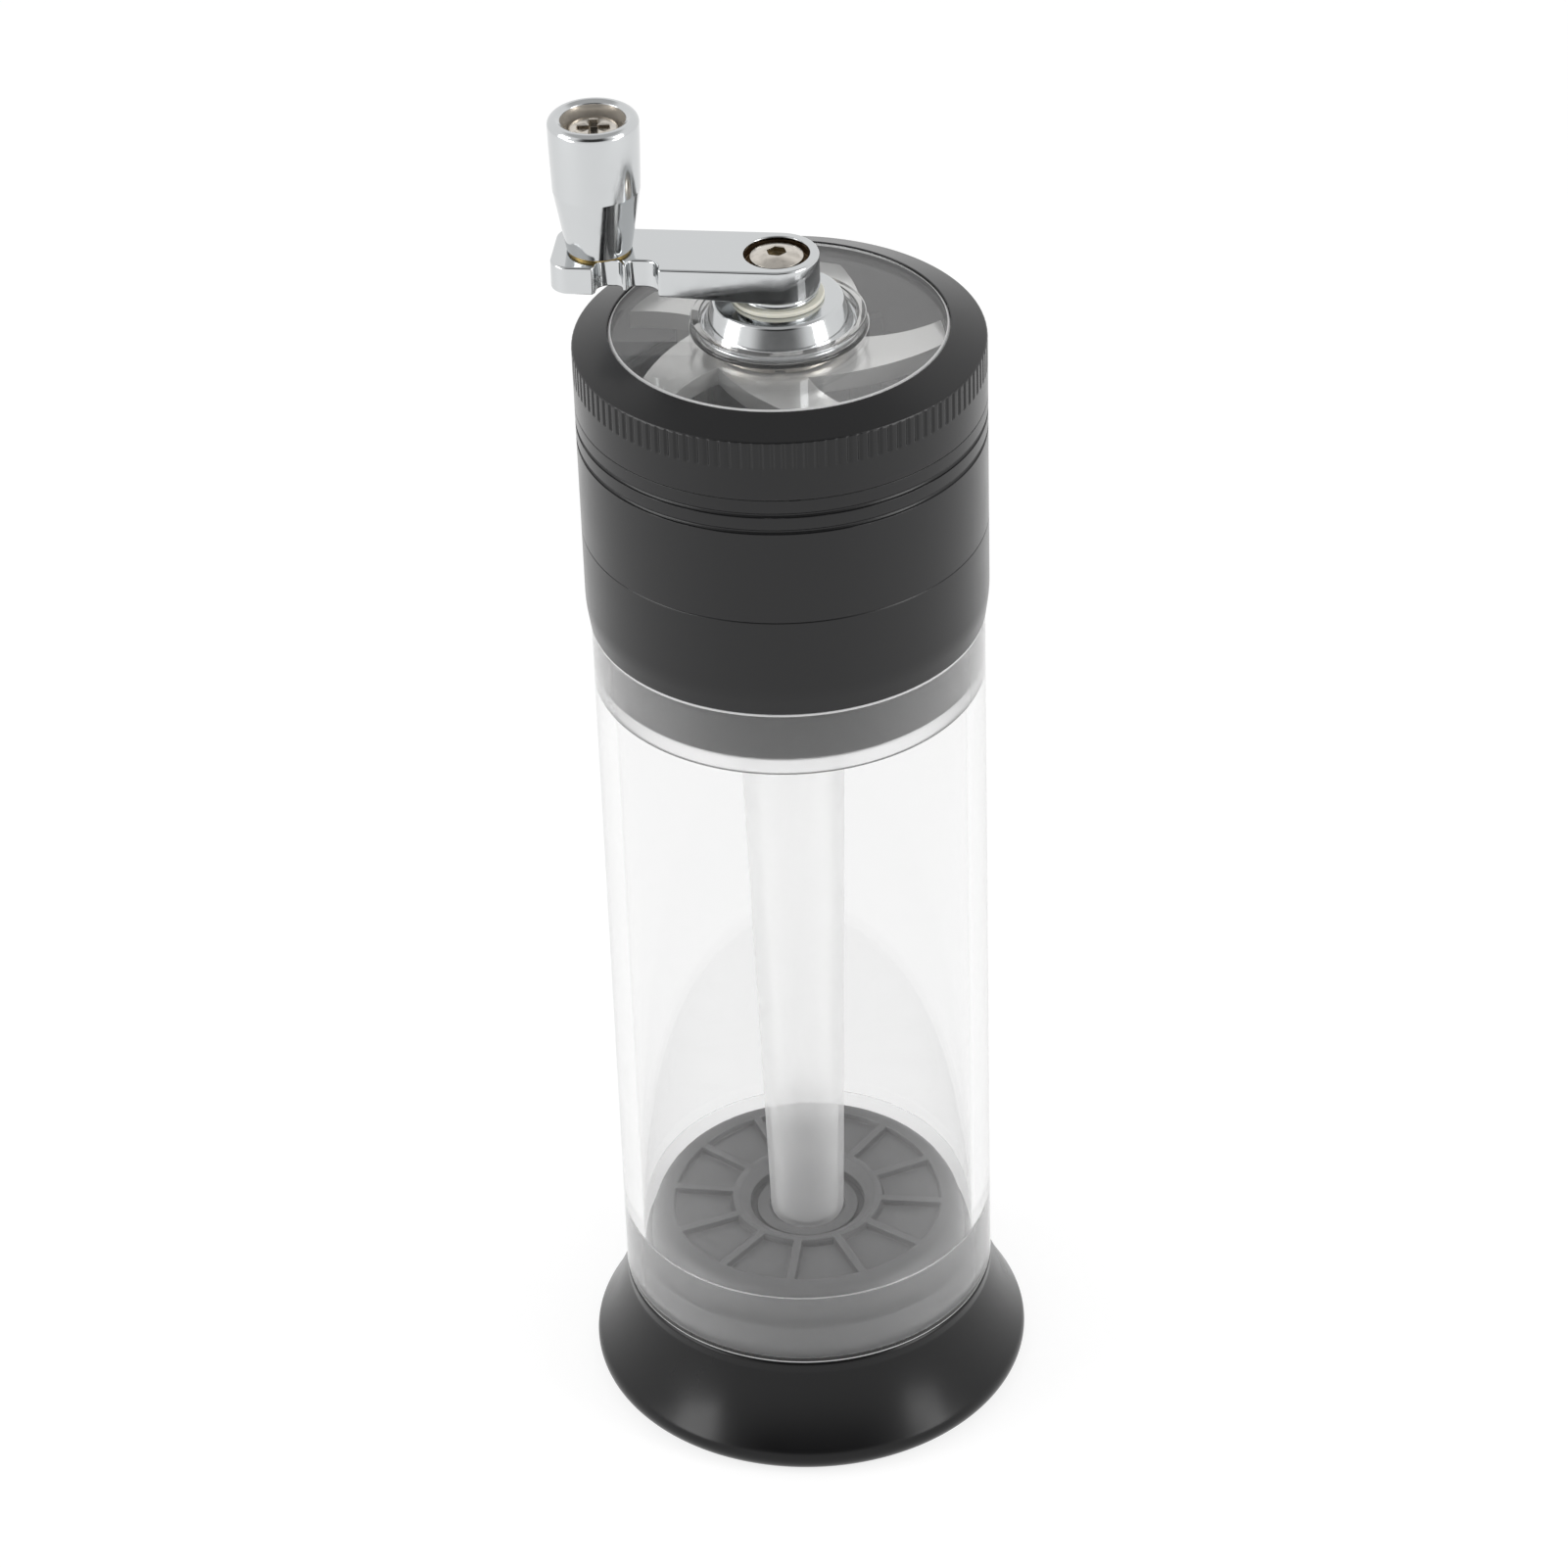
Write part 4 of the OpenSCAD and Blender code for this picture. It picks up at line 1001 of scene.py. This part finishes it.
def arm_screw():
    """The domed screw in the arm, with its hexagon socket, whose flats are at the distance (half of across) /
    cos a for the angle a from a flat's middle."""
    across, sixth = 2.6, math.pi / 3
    outline = across / 2 / np.cos((around(192) + sixth / 2) % sixth - sixth / 2)
    corner = outline.max()
    dome_r = 9.12
    reach = [90 - math.degrees(math.asin(r / dome_r)) for r in (3.83, corner + 0.15)]
    profile = np.concatenate([
        rounded([
            (0, 194.8), (2, 194.8, 0.3), (2, 203.82), (3.95, 203.82, 0.1), (3.95, 205, 0.12), (3.81, 205.06),
        ])[:-1],
        bend((0, 205.9 - dome_r), dome_r, *reach, 20),
        [(corner + 0.05, 205.76), (corner, 205.66), (corner, 204.95), (corner - 0.1, 204.85), (0, 204.85)],
    ])
    parts = turned_about([driven(profile, outline, 0.9)], 12)
    thing = piece("arm_screw_domed", parts, screw_nickel, "crank", "steel", "arm_screw")
    paint(thing, socket_steel, (0, corner), (204.8, 205.7))


def knob():
    """The chromed knob, the brass washer under it and the screw that holds it. The screw's cross is made of
    two bars: its outline at each angle is the farther of theirs."""
    columns = 216
    recess_r, recess_floor = 4.7, 223
    profile = np.concatenate([
        rounded([
            (KNOB_BORE_R, KNOB_BASE, 0.1), (4.85, KNOB_BASE, 0.12), (6.45, 215.6, 0.6), (6.68, 224),
        ])[:-1],
        [(6.66, 222.5), (6.69, 224.6)],
        bend((5.6, 225.9), 1.1, 2, 100, 14),
        rounded([
            (5.3, 226.95), (recess_r + 0.05, 226.6, 0.3), (recess_r, recess_floor, 0.3),
            (KNOB_BORE_R, recess_floor, 0.1), (KNOB_BORE_R, 215),
        ])[1:-1],
    ])
    thing = piece("knob_turned", [turned(profile, columns, KNOB_AT)], turned_chrome, "grip", "chrome", "knob")
    paint(thing, recess_chrome, (0, recess_r + 0.1), (recess_floor - 1, 226.5), centre=KNOB_AT)
    brass_ring = turned(ring(ARM_TOP, KNOB_BASE, KNOB_BORE_R, 4.5, 0.08), 128, KNOB_AT)
    piece("brass_ring", [brass_ring], brass, "crank", "brass", "knob_washer")
    angle = around(columns)
    long, short = 2.4, 0.6
    c, s = np.maximum(np.abs(np.cos(angle)), 1e-9), np.maximum(np.abs(np.sin(angle)), 1e-9)
    outline = np.maximum(np.minimum(long / c, short / s), np.minimum(short / c, long / s))
    far = outline.max()
    screw = np.concatenate([
        rounded([
            (0, 201.5), (2, 201.5, 0.3), (2, 205.45), (2.5, ARM_TOP), (2.5, 223.05), (3.7, 223.05, 0.15),
            (3.7, 225.25, 0.45), (3, 225.27),
        ])[:-1],
        [(far + 0.25, 225.28), (far + 0.04, 225.24), (far, 225.15), (far, 224.1), (far - 0.1, 224.05)],
        [(0, 224.02)],
    ])
    part = driven(screw, outline, 0.97, KNOB_AT)
    piece("knob_screw_crossed", [part], screw_nickel, "crank", "steel", "knob_screw")


class MILL_OT_crank(bpy.types.Operator):
    """Crank arm with its screw, and the knob with its washer and screw"""

    bl_idname = "mill.crank"
    bl_label = "Crank"

    def execute(self, context):
        arm()
        arm_screw()
        knob()
        return {"FINISHED"}


# Stage


def floor():
    """The pale floor. Camera, gloss and glass see it white, with the object's shadow kept; other light meets
    plain white paint."""
    mesh = bpy.data.meshes.new("studio_floor")
    half, low, paint_level, thin_level, glow = 4, -0.05 * MM, 0.72, 0.3, 0.78
    corners = [(-half, -half, low), (half, -half, low), (half, half, low), (-half, half, low)]
    mesh.from_pydata(corners, [], [(0, 1, 2, 3)])
    material, tree = finish("matt_white_paint")
    rays = add(tree, "LightPath")
    seen = rays.outputs["Is Camera Ray"]
    for kind in ("Is Glossy Ray", "Is Transmission Ray"):
        seen = add(tree, "Math", {0: seen, 1: rays.outputs[kind]}, operation="MAXIMUM")
    white = add(tree, "BsdfDiffuse", {"Color": rgba([paint_level] * 3)})
    thin = add(tree, "BsdfDiffuse", {"Color": rgba([thin_level] * 3)})
    glowing = add(tree, "Emission", {"Color": (1, 1, 1, 1), "Strength": glow})
    bright = add(tree, "AddShader", {0: thin, 1: glowing})
    out(tree, add(tree, "MixShader", {0: seen, 1: white, 2: bright}))
    mesh.materials.append(material)
    thing = linked("studio_floor", mesh)


def world():
    """A white studio. Gloss and glass see a dimmer ceiling in it, and a dark card behind the camera, where
    y / sqrt(1 - z * z) nears -1. They give chrome and black metal their dark shapes. The camera sees plain
    white, and other rays get an even light."""
    even_light, card_level, ceiling_level = 0.62, 0.05, 0.55
    card_side, card_rise, ceiling_rise = (-0.62, -0.95), (0.0, 0.3), (0.72, 0.88)
    full = 1.0001  # a little over 1, so that the root isn't nought straight up
    studio = bpy.data.worlds.new("white_studio")
    bpy.context.scene.world = studio
    studio.use_nodes = True
    studio.cycles.sampling_method = "NONE"
    tree = studio.node_tree
    tree.nodes.clear()
    y, z = add(tree, "SeparateXYZ", {0: add(tree, "TexCoord").outputs["Generated"]}).outputs[1:]
    flat = add(tree, "Math", {0: z, 1: z}, operation="MULTIPLY")
    flat = add(tree, "Math", {0: full, 1: flat}, operation="SUBTRACT")
    flat = add(tree, "Math", {0: flat}, operation="SQRT")
    front = add(tree, "Math", {0: y, 1: flat}, operation="DIVIDE")

    def ramp(value, low, high):
        ends = {"Value": value, "From Min": low, "From Max": high}
        return add(tree, "MapRange", ends, interpolation_type="SMOOTHSTEP")

    card = add(tree, "Math", {0: ramp(front, *card_side), 1: ramp(z, *card_rise)}, operation="MULTIPLY")
    wall = add(tree, "MapRange", {"Value": card, "To Min": 1.0, "To Max": card_level})
    seen = add(tree, "Mix", {0: ramp(z, *ceiling_rise), 2: wall, 3: ceiling_level})
    rays = add(tree, "LightPath")
    clear = rays.outputs["Is Transmission Ray"]
    sharp = add(tree, "Math", {0: rays.outputs["Is Glossy Ray"], 1: clear}, operation="MAXIMUM")
    gloss = add(tree, "Mix", {0: sharp, 2: even_light, 3: seen})
    level = add(tree, "Mix", {0: rays.outputs["Is Camera Ray"], 2: gloss, 3: 1.0})
    back = add(tree, "Background", {"Color": (1, 1, 1, 1), "Strength": level})
    add(tree, "OutputWorld", {"Surface": back})


def softbox(name, place, aim, width, height, watts):
    """A soft rectangular lamp at a place, turned towards aim."""
    lamp = bpy.data.lights.new(name, "AREA")
    lamp.shape = "RECTANGLE"
    lamp.size, lamp.size_y, lamp.energy = width, height, watts
    thing = linked(name, lamp)
    thing.location = place
    thing.rotation_euler = (Vector(aim) - Vector(place)).to_track_quat("-Z", "Y").to_euler()


def camera():
    """The camera where the photograph was taken from: it looks down, slightly tilted, through a long lens."""
    pan, down, tilt = (math.radians(angle) for angle in (0.0946, 34.51, -1.946))
    lens = bpy.data.cameras.new("photo_camera")
    lens.lens, lens.sensor_width = 123.42, 36
    lens.clip_start, lens.clip_end = 0.05, 20
    thing = linked("photo_camera", lens)
    place = Matrix.Translation((-0.0004, -0.68874, 0.58512))
    turn = Matrix.Rotation(pan, 4, "Z")
    tip = Matrix.Rotation(math.pi / 2 - down, 4, "X")
    roll = Matrix.Rotation(tilt, 4, "Z")
    thing.matrix_world = place @ turn @ tip @ roll
    bpy.context.scene.camera = thing


class MILL_OT_stage(bpy.types.Operator):
    """White floor, white studio, softboxes and the camera"""

    bl_idname = "mill.stage"
    bl_label = "Stage"

    def execute(self, context):
        floor()
        world()
        body, foot = (0, 0, 0.1), (0, 0, 0.01)
        softbox("left_softbox", (-0.75, -0.15, 0.42), body, 0.35, 0.6, 2.2)
        softbox("right_softbox", (0.7, -0.3, 0.45), body, 0.3, 0.6, 2.3)
        softbox("left_strip", (-0.7, -0.42, 0.13), foot, 0.3, 0.22, 1.05)
        softbox("right_strip", (0.68, -0.46, 0.06), foot, 0.26, 0.3, 0.95)
        camera()
        context.scene.view_settings.view_transform = "Standard"
        return {"FINISHED"}


class MILL_PT_panel(bpy.types.Panel):
    """Lists the mill's pieces, sizes and colours in the sidebar"""

    bl_idname = "MILL_PT_panel"
    bl_label = "Spice mill"
    bl_space_type = "VIEW_3D"
    bl_region_type = "UI"
    bl_category = "Spice mill"

    def draw(self, context):
        for operator in OPERATORS:
            self.layout.operator(operator.bl_idname)
        for group in (context.scene.mill_sizes, context.scene.mill_colours):
            for name in group.__annotations__:
                self.layout.prop(group, name)


OPERATORS = (
    MILL_OT_foot, MILL_OT_plug, MILL_OT_tubes, MILL_OT_collar, MILL_OT_chamber, MILL_OT_lid, MILL_OT_hub,
    MILL_OT_rotor, MILL_OT_crank, MILL_OT_stage,
)
CLASSES = (MillSizes, MillColours, *OPERATORS, MILL_PT_panel)


def register():
    for kind in CLASSES:
        bpy.utils.register_class(kind)
    bpy.types.Scene.mill_sizes = bpy.props.PointerProperty(type=MillSizes)
    bpy.types.Scene.mill_colours = bpy.props.PointerProperty(type=MillColours)


def unregister():
    del bpy.types.Scene.mill_sizes
    del bpy.types.Scene.mill_colours
    for kind in reversed(CLASSES):
        bpy.utils.unregister_class(kind)


def main():
    """Registers the add-on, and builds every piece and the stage."""
    register()
    for operator in OPERATORS:
        getattr(bpy.ops.mill, operator.bl_idname.split(".")[1])()


if __name__ == "__main__":
    main()
